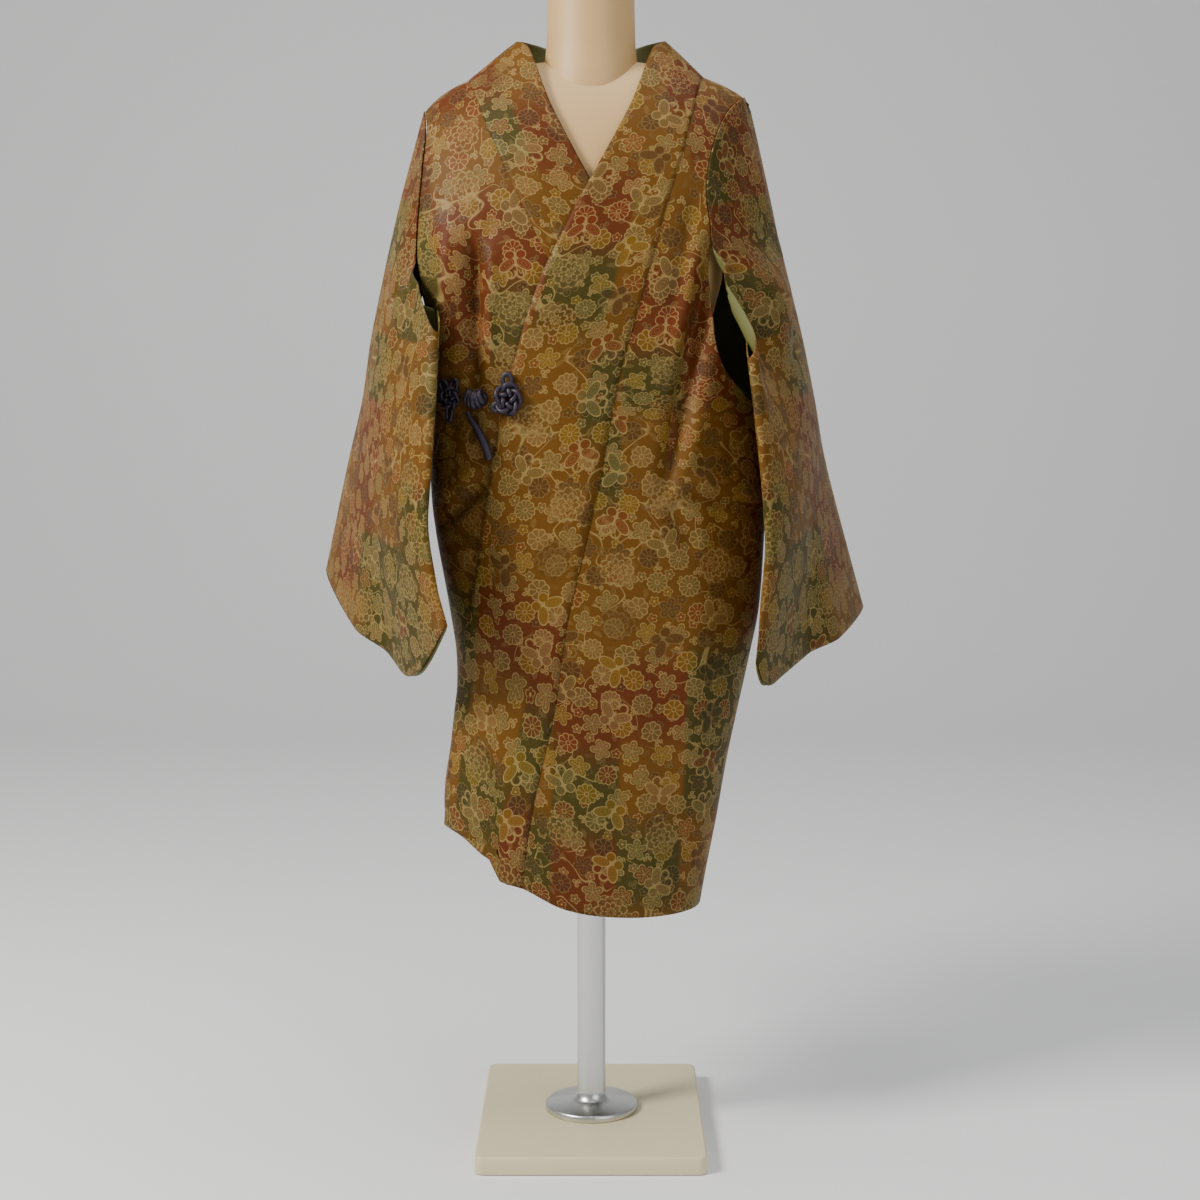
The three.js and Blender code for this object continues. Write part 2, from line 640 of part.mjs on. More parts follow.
function sleeve(side) {
  const rows = [];
  for (let j = 0; j <= SLEEVE_ALONG; j += 1) {
    const along = j / SLEEVE_ALONG;
    const row = [];
    for (let i = 0; i <= SLEEVE_ACROSS; i += 1) row.push(sleevePoint(side, FRONT, along, i / SLEEVE_ACROSS));
    for (let i = SLEEVE_ACROSS - 1; i > 0; i -= 1) row.push(sleevePoint(side, BACK, along, i / SLEEVE_ACROSS));
    rows.push(row);
  }
  return wallOf(...gridSheet(rows, { ring: true, turned: side === LEFT }), CLOTH);
}

// The dress form

const FORM = {
  endX: 146, bottom: 824, clear: CLOTH + 0.35, hang: 15, neckRadius: 47, neckY: 6, neckRoot: 54, neckFoot: 1110,
};

// A slice of the torso across the shoulder line at one x: bottom front, up over the shoulder, bottom back
function torsoSlice(x, shrink) {
  const angle = angleAt(ARCH_FOOT, x);
  const points = [];
  const steps = 7;
  for (const face of [FRONT, BACK]) {
    const column = [];
    for (let j = 0; j <= steps; j += 1) {
      const rise = j / steps;
      const inset = FORM.clear + FORM.hang * (1 - Math.sin((rise * Math.PI) / 2)) ** 0.8;
      column.push(plainArch(face, angle, rise, -inset));
    }
    const foot = column[0];
    const low = [1, 0.5].map((share) => {
      const narrow = 1 - 0.16 * share;
      return new Vec(foot.x * narrow, foot.y * narrow, mix(ARCH_FOOT, FORM.bottom, share));
    });
    points.push(...(face === FRONT ? [...low, ...column] : [...column.slice(0, -1).reverse(), ...low.reverse()]));
  }
  const middle = new Vec(x, 0, 990);
  return points.reverse().map((p) => middle.clone().lerp(p, shrink).setX(p.x));
}

// The arch without folds or laps, moved along its normal
function plainArch(face, angle, rise, offset) {
  const place = archPoint(face, angle, rise);
  const run = archPoint(face, angle, Math.min(1, rise + 0.01)).sub(archPoint(face, angle, Math.max(0, rise - 0.01)));
  const beside = archPoint(face, angle + 0.02, rise).sub(archPoint(face, angle - 0.02, rise));
  const normal = beside.cross(run).multiplyScalar(-face).normalize();
  return place.addScaledVector(normal, offset);
}

function formTorso() {
  const slices = [];
  const steps = 14;
  for (let k = 0; k <= steps; k += 1) {
    const x = -FORM.endX * Math.cos((k / steps) * Math.PI);
    const toEnd = 1 - Math.abs(x) / FORM.endX;
    slices.push(torsoSlice(x, 0.8 + 0.2 * smooth(0, 0.12, toEnd)));
  }
  const r = FORM.neckRadius;
  const profile = [
    [0, FORM.neckFoot], [FORM.neckRoot, FORM.neckFoot], [FORM.neckRoot, FORM.neckFoot + 36],
    [FORM.neckRoot - 3, FORM.neckFoot + 66], [r + 1, FORM.neckFoot + 90], [r, FORM.neckFoot + 130],
    [r - 1, NECK_TOP - 4], [r - 4, NECK_TOP], [0, NECK_TOP],
  ];
  const neck = new THREE.LatheGeometry(profile.map(([a, b]) => new THREE.Vector2(a, b)), 28);
  neck.rotateX(Math.PI / 2).translate(0, FORM.neckY, 0);
  return joined([solidThrough(slices), neck]);
}

function basePlate() {
  const outline = new THREE.Shape();
  const [w, d, r] = [PLATE.width / 2, PLATE.depth / 2, PLATE.corner];
  outline.moveTo(-w + r, -d).lineTo(w - r, -d).absarc(w - r, -d + r, r, -Math.PI / 2, 0);
  outline.lineTo(w, d - r).absarc(w - r, d - r, r, 0, Math.PI / 2);
  outline.lineTo(-w + r, d).absarc(-w + r, d - r, r, Math.PI / 2, Math.PI);
  outline.lineTo(-w, -d + r).absarc(-w + r, -d + r, r, Math.PI, Math.PI * 1.5);
  return new THREE.ExtrudeGeometry(outline, { depth: PLATE.thick, bevelEnabled: false, curveSegments: 3 });
}

// The pole, with a flange on the plate and a collar under the torso
function pole() {
  const [r, f] = [POLE.radius, POLE.flangeRadius];
  const low = PLATE.thick + SEAM_GAP;
  const high = FORM.bottom - SEAM_GAP;
  const profile = [
    [0, low], [f, low], [f, low + POLE.flangeThick - 2], [f - 2, low + POLE.flangeThick],
    [r + 8, low + POLE.flangeThick + 2], [r, low + POLE.flangeThick + 14],
    [r, high - 10], [r + 16, high - 8], [r + 16, high], [0, high],
  ];
  const lathe = new THREE.LatheGeometry(profile.map(([a, b]) => new THREE.Vector2(a, b)), 24);
  return lathe.rotateX(Math.PI / 2);
}

// The fastening: flower knots of round cord on both fronts and a button knot between them

const PETALS = 6;
const PETAL = { share: 0.62, stretch: 1.35, tilt: 0.22, start: 0.3 };
const KNOTS = [
  { name: "knot_right", x: -148, z: 822, loop: 9.5, reach: 14, narrow: 0.8, off: 3.9, layer: RIGHT },
  { name: "knot_left", x: -87, z: 824, loop: 10, reach: 14.6, narrow: 0.76, off: 4.9, layer: LEFT },
];
const BUTTON = { x: -122, z: 819, off: 9, turn: 6.6, spread: 4, lean: 0.4, bar: 11 };

function cordRing(radius, thick, segments) {
  return new THREE.TorusGeometry(radius, thick, 6, segments);
}

// A flat flower of cord loops round a small raised centre, facing +Z before it is turned
function flowerKnot(knot) {
  const parts = [];
  for (let k = 0; k < PETALS; k += 1) {
    const turn = (k / PETALS) * Math.PI * 2;
    const petal = cordRing(knot.loop * PETAL.share, CORD_RADIUS, 10);
    petal.scale(PETAL.stretch, 1, 1).rotateX(k % 2 ? PETAL.tilt : -PETAL.tilt);
    petal.translate(knot.reach, 0, 0).rotateZ(turn + PETAL.start);
    parts.push(petal);
  }
  const heart = cordRing(knot.loop * 0.75, CORD_RADIUS * 1.1, 12).translate(0, 0, 2.5);
  const middle = new THREE.SphereGeometry(knot.loop * 0.72, 10, 6).scale(1, 1, 0.8).translate(0, 0, 1.5);
  return joined([heart, middle, ...parts]).scale(knot.narrow, 1, 1);
}

// The button knot that joins the two flowers, and the loop of cord that hangs from it
function buttonKnot() {
  const parts = [-1, 0, 1].map((k) => {
    const turn = cordRing(BUTTON.turn - Math.abs(k), CORD_RADIUS, 10);
    return turn.rotateY(Math.PI / 2).translate(k * BUTTON.spread, 0, 0).rotateZ(k * BUTTON.lean);
  });
  const bar = new THREE.CapsuleGeometry(CORD_RADIUS, BUTTON.bar, 3, 8).rotateZ(Math.PI / 2);
  return joined([...parts, bar]);
}

// The hanging loop's route, as places on the fronts: x, height and how far it stands off
const LOOP_ROUTE = [
  { x: -124, z: 808.6, off: 7 },
  { x: -121, z: 800, off: 7 },
  { x: -115, z: 790, off: 6 },
  { x: -109, z: 777, off: 6 },
  { x: -104.5, z: 765, off: 6 },
  { x: -102, z: 757, off: 6 },
];

function hangingLoop() {
  const points = LOOP_ROUTE.map((spot) => frontPlace(RIGHT, spot.x, spot.z, spot.off + LAYER_STEP).place);
  const curve = new THREE.CatmullRomCurve3(points);
  const section = new THREE.Shape().absarc(0, 0, LOOP_WIDTH / 2, 0, Math.PI * 2);
  return new THREE.ExtrudeGeometry(section, {
    extrudePath: curve, steps: 10, bevelEnabled: false, curveSegments: 4,
  });
}

// The place on the fronts that a knot lies on, and the way out from it
function frontPlace(layer, x, z, off) {
  const angle = angleAt(z, x);
  const place = clothPoint(FRONT, layer, angle, z, BAND_RISE);
  const out = outwardAt(FRONT, angle, z);
  return { place: place.addScaledVector(out, off), out };
}

// Turns a piece that faces +Z so that it lies on the front
function laidOn(geometry, layer, x, z, off) {
  const { place, out } = frontPlace(layer, x, z, off);
  const up = new Vec(0, 0, 1);
  const across = up.clone().cross(out).normalize();
  const basis = new THREE.Matrix4().makeBasis(across, out.clone().cross(across), out);
  return geometry.applyMatrix4(basis.setPosition(place));
}

const forWearer = (side) => (side === LEFT ? "left" : "right");
const coat = new THREE.Group();
const form = new THREE.Group();
const cloth = new THREE.MeshStandardMaterial({ color: 0xa0692b, roughness: 0.55, metalness: 0 });
const cordCloth = new THREE.MeshStandardMaterial({ color: 0x231932, roughness: 0.5, metalness: 0 });
const skin = new THREE.MeshStandardMaterial({ color: 0xe2cba4, roughness: 0.45, metalness: 0 });
const paint = new THREE.MeshStandardMaterial({ color: 0xd9d0a4, roughness: 0.5, metalness: 0 });
const steel = new THREE.MeshStandardMaterial({ color: 0xc8c8c4, roughness: 0.3, metalness: 1 });

function addPiece(group, name, geometry, material) {
  const mesh = new THREE.Mesh(geometry, material.clone());
  mesh.name = name;
  group.add(mesh);
  return mesh;
}

for (const side of [LEFT, RIGHT]) {
  addPiece(coat, "body_" + forWearer(side), bodyPanel(side), cloth);
  addPiece(coat, "sleeve_" + forWearer(side), sleeve(side), cloth);
}
addPiece(coat, "collar", collarBand(), cloth);
for (const knot of KNOTS) {
  addPiece(coat, knot.name, laidOn(flowerKnot(knot), knot.layer, knot.x, knot.z, knot.off), cordCloth);
}
addPiece(coat, "knot_button", laidOn(buttonKnot(), RIGHT, BUTTON.x, BUTTON.z, BUTTON.off), cordCloth);
addPiece(coat, "tie_loop", hangingLoop(), cordCloth);
addPiece(form, "form_torso", formTorso(), skin);
addPiece(form, "pole", pole(), steel);
addPiece(form, "base_plate", basePlate(), paint);

const root = new THREE.Group();
root.add(coat, form);
export default root;
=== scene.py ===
# %% [markdown]
# # A kimono coat on a dress form
# The coat is a wrap-over dochugi in patterned silk. Lengths in the tables are millimetres, and each
# mesh is turned to metres at the end.

# %% Load the frame
import math
from collections import namedtuple

import bmesh
import bpy
import numpy as np
from mathutils import Matrix, Vector


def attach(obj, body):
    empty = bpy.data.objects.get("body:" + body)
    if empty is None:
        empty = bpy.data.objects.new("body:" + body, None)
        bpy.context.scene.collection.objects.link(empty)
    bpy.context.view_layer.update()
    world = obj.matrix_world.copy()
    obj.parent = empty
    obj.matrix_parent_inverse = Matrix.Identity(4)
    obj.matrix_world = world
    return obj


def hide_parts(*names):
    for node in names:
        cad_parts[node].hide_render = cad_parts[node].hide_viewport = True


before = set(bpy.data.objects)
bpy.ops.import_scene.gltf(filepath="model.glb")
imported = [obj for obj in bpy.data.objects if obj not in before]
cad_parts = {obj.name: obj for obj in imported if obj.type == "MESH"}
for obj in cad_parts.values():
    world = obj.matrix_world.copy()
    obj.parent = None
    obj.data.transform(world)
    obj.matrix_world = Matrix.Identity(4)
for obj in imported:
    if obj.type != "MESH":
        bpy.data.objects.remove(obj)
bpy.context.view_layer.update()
MM = 0.001
print("nodes", len(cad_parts))

# %% [markdown]
# The camera comes first. It stands about 2.2 m in front, at the height of the fastening, and looks
# a little down. It could be placed by eye, but the lines of the base plate and the neck's width say
# where the picture was taken from, so the place is worked out from them.

# %% Camera
EYE = Vector((0.0097, -2.180, 0.822))
LOOK_DOWN = math.radians(5.83)
LENS = 59.4
SENSOR_WIDTH = 36.0
SIGHT_LIMIT = 50.0

camera_data = bpy.data.cameras.new("camera")
camera_data.lens = LENS
camera_data.sensor_width = SENSOR_WIDTH
camera_data.clip_end = SIGHT_LIMIT
camera = bpy.data.objects.new("camera", camera_data)
camera.location = EYE
camera.rotation_euler = (math.radians(90) - LOOK_DOWN, 0.0, 0.0)
bpy.context.scene.collection.objects.link(camera)
bpy.context.scene.camera = camera

# %% [markdown]
# ## The coat's sizes
# The coat hangs as a hollow oval below the arms and arches over the shoulders above them. A cloth
# simulation could drape flat panels over the form, but its outline would be left to chance, so the
# hanging shape is stated instead. Each table has a row for a height, and a smooth cubic runs through
# the rows.

# %% Tables of the body
CLOTH = 2.0
SHELL = 1.3
SEAM_GAP = 0.3
SIDE_TURN = 0.00002  # the panels stop this far short of the side line, as an angle
LAYER_STEP = 3.5
HIDDEN_REACH = 104.0
HIDDEN_STEP = 9.0
BAND_RISE = 0.6  # the collar band lies this far off the fronts
ARCH_FOOT = 935.0
SHOULDER_BACK = 6.0
ROUNDNESS = 2.5
BACK_HEM = 265.0
SIDE_HEM = 369.0
INNER_HEM_RISE = 12.0
NECK_TOP = 1300.0
SEAM_RIDGE = 232.0
TIP_RIDGE = 193.0
NECK_LOW = 0.6
RIGHT, LEFT = -1, 1
FRONT, BACK = -1, 1

Section = namedtuple("Section", "height right left front back")
SECTIONS = [
    Section(255, 146, 121, 94, 94),
    Section(374, 164, 141, 98, 98),
    Section(484, 150, 163, 101, 101),
    Section(540, 149, 175, 103, 102),
    Section(594, 157, 185, 104, 103),
    Section(700, 174, 191, 106, 104),
    Section(795, 178, 190, 108, 104),
    Section(850, 184, 192, 109, 104),
    Section(935, 205, 205, 110, 104),
]
Ridge = namedtuple("Ridge", "across height")
SHOULDER = [
    Ridge(0, 1190), Ridge(78, 1180), Ridge(118, 1167), Ridge(150, 1154),
    Ridge(172, 1138), Ridge(187, 1116), Ridge(205, 1060),
]
Band = namedtuple("Band", "height seam edge")
BAND = {
    LEFT: [
        Band(262, -74, -158), Band(322, -71, -158), Band(398, -59, -153), Band(494, -38, -142),
        Band(579, -26, -129), Band(650, -10, -118), Band(733, 9, -106), Band(839, 29, -84),
        Band(937, 56, -55), Band(1000, 74, -22), Band(1047, 88, 5), Band(1075, 97, 21),
        Band(1114, 106, 42), Band(1160, 118, 66), Band(1167, 121, 80),
    ],
    RIGHT: [
        Band(262, -90, -158), Band(650, -26, -118), Band(733, -10, -106), Band(839, 8, -84),
        Band(937, 33, -55), Band(1000, 63, -22), Band(1047, 86, 5), Band(1075, 98, 21),
        Band(1114, 113, 42), Band(1160, 129, 66), Band(1167, 132, 80),
    ],
}
HEM = [
    Ridge(-158, 357), Ridge(-137, 349), Ridge(-118, 333), Ridge(-103, 321), Ridge(-99, 305),
    Ridge(-73, 297), Ridge(-29, 275), Ridge(29, 265), Ridge(113, 264), Ridge(140, 265),
]
Side = namedtuple("Side", "height angle")
FRONT_SIDE = {
    RIGHT: [
        Side(845, 90), Side(862, 72), Side(888, 60), Side(930, 58), Side(975, 61), Side(1058, 57),
        Side(1100, 55), Side(1128, 57.5),
    ],
    LEFT: [
        Side(796, 90), Side(818, 62), Side(860, 40), Side(920, 34), Side(976, 33), Side(1030, 31),
        Side(1090, 38), Side(1138, 52.5),
    ],
}
BACK_SIDE = {
    RIGHT: [Side(845, 90), Side(880, 74), Side(930, 64), Side(975, 63), Side(1058, 60), Side(1128, 57.5)],
    LEFT: [Side(796, 90), Side(850, 76), Side(920, 64), Side(975, 63), Side(1058, 58), Side(1138, 52.5)],
}
ARMHOLE_FOOT = {RIGHT: 972.0, LEFT: 976.0}
print("rows", len(SECTIONS), "sections,", len(BAND[LEFT]), "of the outer band and", len(HEM), "of the hem")

# %% [markdown]
# Lined silk hangs in soft folds, and the fastening gathers it at the waist. Folds could be sculpted
# by hand, but a table can be read and changed. A fold is a trough, or a ridge where its depth is
# negative, that runs from one place to another. The first rows are the large folds, which the solids
# have too. The later rows are only here: fine folds, and some that deepen the large ones.

# %% Tables of folds
Fold = namedtuple("Fold", "face x1 z1 x2 z2 deep wide")
LARGE_FOLDS = [
    Fold(FRONT, -122, 985, -131, 832, 9, 10),
    Fold(FRONT, -150, 1000, -156, 880, -6, 12),
    Fold(FRONT, -112, 733, -160, 690, 5, 9),
    Fold(FRONT, 128, 968, 76, 722, 9, 11),
    Fold(FRONT, 142, 930, 98, 735, -6, 12),
    Fold(FRONT, 80, 708, 112, 664, 6, 9),
    Fold(FRONT, 100, 722, 184, 700, 5, 8),
    Fold(FRONT, 110, 1030, 86, 900, 4, 10),
    Fold(FRONT, 60, 620, 92, 330, 3, 22),
    Fold(FRONT, 120, 640, 112, 300, -3, 20),
    Fold(BACK, -150, 960, -96, 700, 8, 13),
    Fold(BACK, 150, 960, 104, 720, 8, 13),
    Fold(BACK, -120, 700, -90, 330, 4, 24),
    Fold(BACK, 118, 690, 84, 320, 4, 24),
    Fold(BACK, 60, 1060, 128, 1010, 4, 12),
    Fold(BACK, -60, 1064, -130, 1000, 4, 12),
]
SMALL_FOLDS = [
    Fold(FRONT, -104, 1010, -112, 905, 2.2, 9),
    Fold(FRONT, -138, 820, -150, 760, 1.8, 7),
    Fold(FRONT, -118, 705, -150, 668, 1.6, 7),
    Fold(FRONT, -84, 800, -40, 770, 1.4, 9),
    Fold(FRONT, -86, 780, -58, 690, 1.6, 12),
    Fold(FRONT, 106, 900, 88, 780, 2.4, 8),
    Fold(FRONT, 150, 780, 128, 620, 2.2, 14),
    Fold(FRONT, 96, 745, 140, 738, 1.8, 7),
    Fold(FRONT, 60, 960, 36, 860, 1.4, 14),
    Fold(FRONT, -20, 600, -30, 420, 1.2, 20),
    Fold(FRONT, 20, 560, 36, 320, 1.6, 18),
    Fold(FRONT, 92, 1120, 126, 1060, 1.6, 9),
    Fold(FRONT, -96, 1120, -140, 1070, 1.6, 10),
    Fold(FRONT, 134, 992, 102, 846, 7.0, 8),
    Fold(FRONT, 102, 846, 80, 724, 6.0, 7),
    Fold(FRONT, 112, 990, 84, 850, -4.0, 9),
    Fold(FRONT, 104, 738, 184, 716, -3.6, 8),
    Fold(FRONT, 92, 716, 150, 700, 3.6, 5),
    Fold(FRONT, -124, 990, -122, 840, 7.5, 6),
    Fold(FRONT, -104, 984, -106, 846, -5.0, 8),
    Fold(FRONT, -134, 812, -112, 742, 5.0, 6),
    Fold(FRONT, -104, 806, -92, 740, 3.4, 6),
    Fold(FRONT, -113, 728, -166, 682, 6.0, 6),
    Fold(FRONT, -116, 750, -168, 714, -4.2, 7),
    Fold(BACK, -40, 900, -52, 640, 1.8, 20),
    Fold(BACK, 44, 880, 40, 600, 1.8, 22),
    Fold(BACK, -140, 860, -120, 740, 2.2, 10),
    Fold(BACK, 140, 850, 126, 730, 2.2, 10),
    Fold(BACK, -60, 560, -40, 330, 1.6, 20),
    Fold(BACK, 56, 540, 48, 320, 1.6, 20),
]
print("folds", len(LARGE_FOLDS), "large and", len(SMALL_FOLDS), "small")

# %% [markdown]
# ## The body's surface as functions
# A panel could be modelled point by point. Here functions say where the cloth lies for an angle round
# the body and a height, because then every panel, seam and cord finds its place on the same surface.
# All of these take arrays, so a whole panel is worked out at once.

# %% Helpers for numbers


def between(rows, at, key, name):
    """A smooth value between the rows of a table, the same cubic that the solids use."""
    xs = np.array([getattr(row, key) for row in rows], float)
    ys = np.array([getattr(row, name) for row in rows], float)
    slopes = np.empty_like(ys)
    slopes[1:-1] = (ys[2:] - ys[:-2]) / (xs[2:] - xs[:-2])
    slopes[0] = (ys[1] - ys[0]) / (xs[1] - xs[0])
    slopes[-1] = (ys[-1] - ys[-2]) / (xs[-1] - xs[-2])
    at = np.clip(np.asarray(at, float), xs[0], xs[-1])
    i = np.clip(np.searchsorted(xs, at, side="right") - 1, 0, len(xs) - 2)
    span = xs[i + 1] - xs[i]
    t = (at - xs[i]) / span
    h = t * t * (3 - 2 * t)
    bend = slopes[i] * t * (1 - t) ** 2 - slopes[i + 1] * t * t * (1 - t)
    return ys[i] + (ys[i + 1] - ys[i]) * h + span * bend


def smooth(a, b, value):
    t = np.clip((np.asarray(value, float) - a) / (b - a), 0, 1)
    return t * t * (3 - 2 * t)


def mix(a, b, share):
    return a + (b - a) * share


def unit(v):
    return v / np.maximum(np.linalg.norm(v, axis=-1, keepdims=True), 1e-9)


# %% Places on the oval and over the shoulder
ANGLE_STEP = 0.02  # the steps over which the surface's normal is measured
UPRIGHT_STEP = 2.0
ARCH_STEP = 0.01


def oval(height, face, angle):
    """x and y on the body's oval at a height, the angle measured from the middle of the face."""
    right = between(SECTIONS, height, "height", "right")
    left = between(SECTIONS, height, "height", "left")
    width = np.where(angle < 0, right, left)
    depth = between(SECTIONS, height, "height", "front" if face == FRONT else "back")
    power = 2 / ROUNDNESS
    x = np.sign(angle) * width * np.abs(np.sin(angle)) ** power
    return x, face * depth * np.maximum(0, np.cos(angle)) ** power


def angle_at(height, x):
    height = np.minimum(height, ARCH_FOOT)
    right = between(SECTIONS, height, "height", "right")
    left = between(SECTIONS, height, "height", "left")
    share = np.minimum(1, np.abs(x) / np.where(np.asarray(x) < 0, right, left))
    return np.sign(x) * np.arcsin(share ** (ROUNDNESS / 2))


def arch_place(face, angle, rise):
    x, y = oval(ARCH_FOOT, face, angle)
    turn = rise * math.pi / 2
    ridge = between(SHOULDER, np.abs(x), "across", "height")
    z = mix(ARCH_FOOT, ridge, np.sin(turn))
    return np.stack(np.broadcast_arrays(x, y * np.cos(turn) + SHOULDER_BACK * np.sin(turn), z), -1)


def upright_place(face, angle, height):
    x, y = oval(height, face, angle)
    return np.stack(np.broadcast_arrays(x, y, height), -1)


def outward(place_at, face, angle, level, step):
    """The surface's outward normal, from small steps round and up."""
    across = place_at(face, angle + ANGLE_STEP, level) - place_at(face, angle - ANGLE_STEP, level)
    run = place_at(face, angle, level + step) - place_at(face, angle, level - step)
    return unit(np.cross(across, run) * -face)


# %% Folds, laps and small unevenness
FOLD_START, FOLD_END = (-0.12, 0.2), (0.75, 1.12)  # where a fold fades in and out along its length
WAVE_SEED = 1
WAVE_COUNT = 9
WAVES_ACROSS, WAVES_UP = (0.02, 0.07), (0.006, 0.03)
WAVE_PHASE, WAVE_LEAN = (0, 6.28), (-0.4, 0.4)
WAVE_HEIGHT = (0.08, 0.2)
OUTER_LAP, INNER_LAP, HIDDEN_LAP = (-20, 40), (-60, 0), (0, 50)  # where a front steps over the other
FREE_CORNER, CORNER_STEP = (100, 145), 2
LAP_FADE = (1080, 1150)


def fold_depth(face, x, z, folds):
    depth = np.zeros(np.broadcast(x, z).shape)
    for fold in folds:
        if fold.face != face:
            continue
        dx, dz = fold.x2 - fold.x1, fold.z2 - fold.z1
        length = dx * dx + dz * dz
        along = ((x - fold.x1) * dx + (z - fold.z1) * dz) / length
        off = ((x - fold.x1) * dz - (z - fold.z1) * dx) / math.sqrt(length)
        taper = smooth(*FOLD_START, along) * (1 - smooth(*FOLD_END, along))
        depth += fold.deep * taper * np.exp(-((off / fold.wide) ** 2))
    return depth


def unevenness(x, z):
    """Slow waves, mostly under a millimetre high, as lined silk has where it hangs free."""
    rng = np.random.default_rng(WAVE_SEED)
    total = np.zeros(np.broadcast(x, z).shape)
    for _ in range(WAVE_COUNT):
        fx, fz = rng.uniform(*WAVES_ACROSS), rng.uniform(*WAVES_UP)
        phase, lean = rng.uniform(*WAVE_PHASE), rng.uniform(*WAVE_LEAN)
        total += rng.uniform(*WAVE_HEIGHT) * np.sin(fx * (x + lean * z) + fz * z + phase)
    return total


def layer_shift(side, x):
    if side == LEFT:
        return LAYER_STEP * (1 - smooth(*OUTER_LAP, x)) + CORNER_STEP * smooth(*FREE_CORNER, -x)
    return -LAYER_STEP * smooth(*INNER_LAP, x) - HIDDEN_STEP * smooth(*HIDDEN_LAP, x)


def cloth_place(place_at, face, side, angle, level, step, extra=0.0):
    """A point of the cloth: the plain surface, moved along its normal by laps and folds."""
    place = place_at(face, angle, level)
    x, z = place[..., 0], place[..., 2]
    lap = layer_shift(side, x) * (1 - smooth(*LAP_FADE, z)) if face == FRONT else 0.0
    share = 1 - smooth(*OUTER_LAP, x) if (face == FRONT and side == RIGHT) else 1.0
    dent = fold_depth(face, x, z, LARGE_FOLDS + SMALL_FOLDS) + unevenness(x, z)
    shift = lap + extra - dent * share
    return place + outward(place_at, face, angle, level, step) * shift[..., None]


# %% Edges of the panels
INNER_CORNER, BACK_CORNER = (-158, -136), (-165, -75)  # where a hem climbs to the side seam
HEM_PASSES = 5


def band_x(side, height, name):
    x = between(BAND[side], height, "height", name)
    return x if side == LEFT else np.minimum(-x, HIDDEN_REACH)


def hem_height(face, side, x):
    outer = between(HEM, x, "across", "height")
    if face == FRONT and side == LEFT:
        return outer
    if face == FRONT:
        return mix(SIDE_HEM, outer + INNER_HEM_RISE, smooth(*INNER_CORNER, x))
    return mix(SIDE_HEM, BACK_HEM, smooth(*BACK_CORNER, x))


def side_angle(face, side, height):
    table = FRONT_SIDE if face == FRONT else BACK_SIDE
    degrees = between(table[side], height, "height", "angle")
    return side * np.minimum(math.pi / 2 - SIDE_TURN, np.radians(degrees))


def neck_across(side, rise):
    seam = between(BAND[side], ARCH_FOOT + SEAM_RIDGE, "height", "seam")
    share = np.clip((rise - NECK_LOW) / (1 - NECK_LOW), 0, 1)
    return np.where(rise <= NECK_LOW, 0, seam * np.sqrt(share))


def inner_angle(face, side, rise):
    level = ARCH_FOOT + np.sin(rise * math.pi / 2) * SEAM_RIDGE
    x = band_x(side, level, "seam") if face == FRONT else side * neck_across(side, rise)
    return angle_at(ARCH_FOOT, x)


def upright_cloth(face, side, share, angle_for, extra=0.0):
    """Cloth below the arch foot, a share of the way up from its hem."""
    height = mix(BACK_HEM, ARCH_FOOT, share)
    for _ in range(HEM_PASSES):
        x = oval(height, face, angle_for(height))[0]
        height = mix(hem_height(face, side, x), ARCH_FOOT, share)
    return cloth_place(upright_place, face, side, angle_for(height), height, UPRIGHT_STEP, extra)


def arch_cloth(face, side, angle, rise, extra=0.0):
    return cloth_place(arch_place, face, side, angle, rise, ARCH_STEP, extra)


# %% [markdown]
# ## From rows of points to a shell
# A real panel is two layers, silk outside and a lining inside. Two separate sheets could be built, but
# one shell with two faces is lighter. A panel is a grid of points. Its UV map holds the place on the
# flat cut in metres, so that the woven pattern runs with the cloth. A Solidify modifier gives the
# shell its thickness, and its inner face takes a second material, the lining.

# %% Shell from a grid
coat_pieces = []


def sheet_object(name, grid, flat, turned=False, ring=False):
    """A mesh object from a grid of points in millimetres and a grid of flat places in metres."""
    rows, columns = grid.shape[:2]
    bm = bmesh.new()
    layer = bm.loops.layers.uv.new("cut")
    verts = [[bm.verts.new(grid[j, i] * MM) for i in range(columns)] for j in range(rows)]
    for j in range(rows - 1):
        for i in range(columns if ring else columns - 1):
            k = (i + 1) % columns
            corners = [(j, i), (j, i + 1), (j + 1, i + 1), (j + 1, i)]
            points = [verts[j][i], verts[j][k], verts[j + 1][k], verts[j + 1][i]]
            if turned:
                corners.reverse()
                points.reverse()
            face = bm.faces.new(points)
            face.smooth = True
            for loop, (a, b) in zip(face.loops, corners):
                loop[layer].uv = flat[a, b]
    mesh = bpy.data.meshes.new(name)
    bm.to_mesh(mesh)
    bm.free()
    piece = bpy.data.objects.new(name, mesh)
    bpy.context.scene.collection.objects.link(piece)
    return piece


def give_thickness(piece, outer, inner):
    piece.data.materials.append(outer)
    piece.data.materials.append(inner)
    wall = piece.modifiers.new("wall", "SOLIDIFY")
    wall.thickness = SHELL * MM
    wall.offset = -1.0
    wall.material_offset = 1
    wall.material_offset_rim = 0
    wall.use_even_offset = False
    return piece


def grown(grid, amount, ring=False):
    """The grid moved along its outward normals by an amount in millimetres."""
    if ring:
        across = np.roll(grid, -1, axis=1) - np.roll(grid, 1, axis=1)
    else:
        across = np.gradient(grid, axis=1)
    return grid + unit(np.cross(across, np.gradient(grid, axis=0))) * amount


def lengths_along(grid, axis):
    step = np.linalg.norm(np.diff(grid, axis=axis), axis=-1)
    total = np.cumsum(step, axis=axis)
    first = np.zeros_like(np.take(grid[..., 0], [0], axis=axis))
    return np.concatenate([first, total], axis=axis) * MM


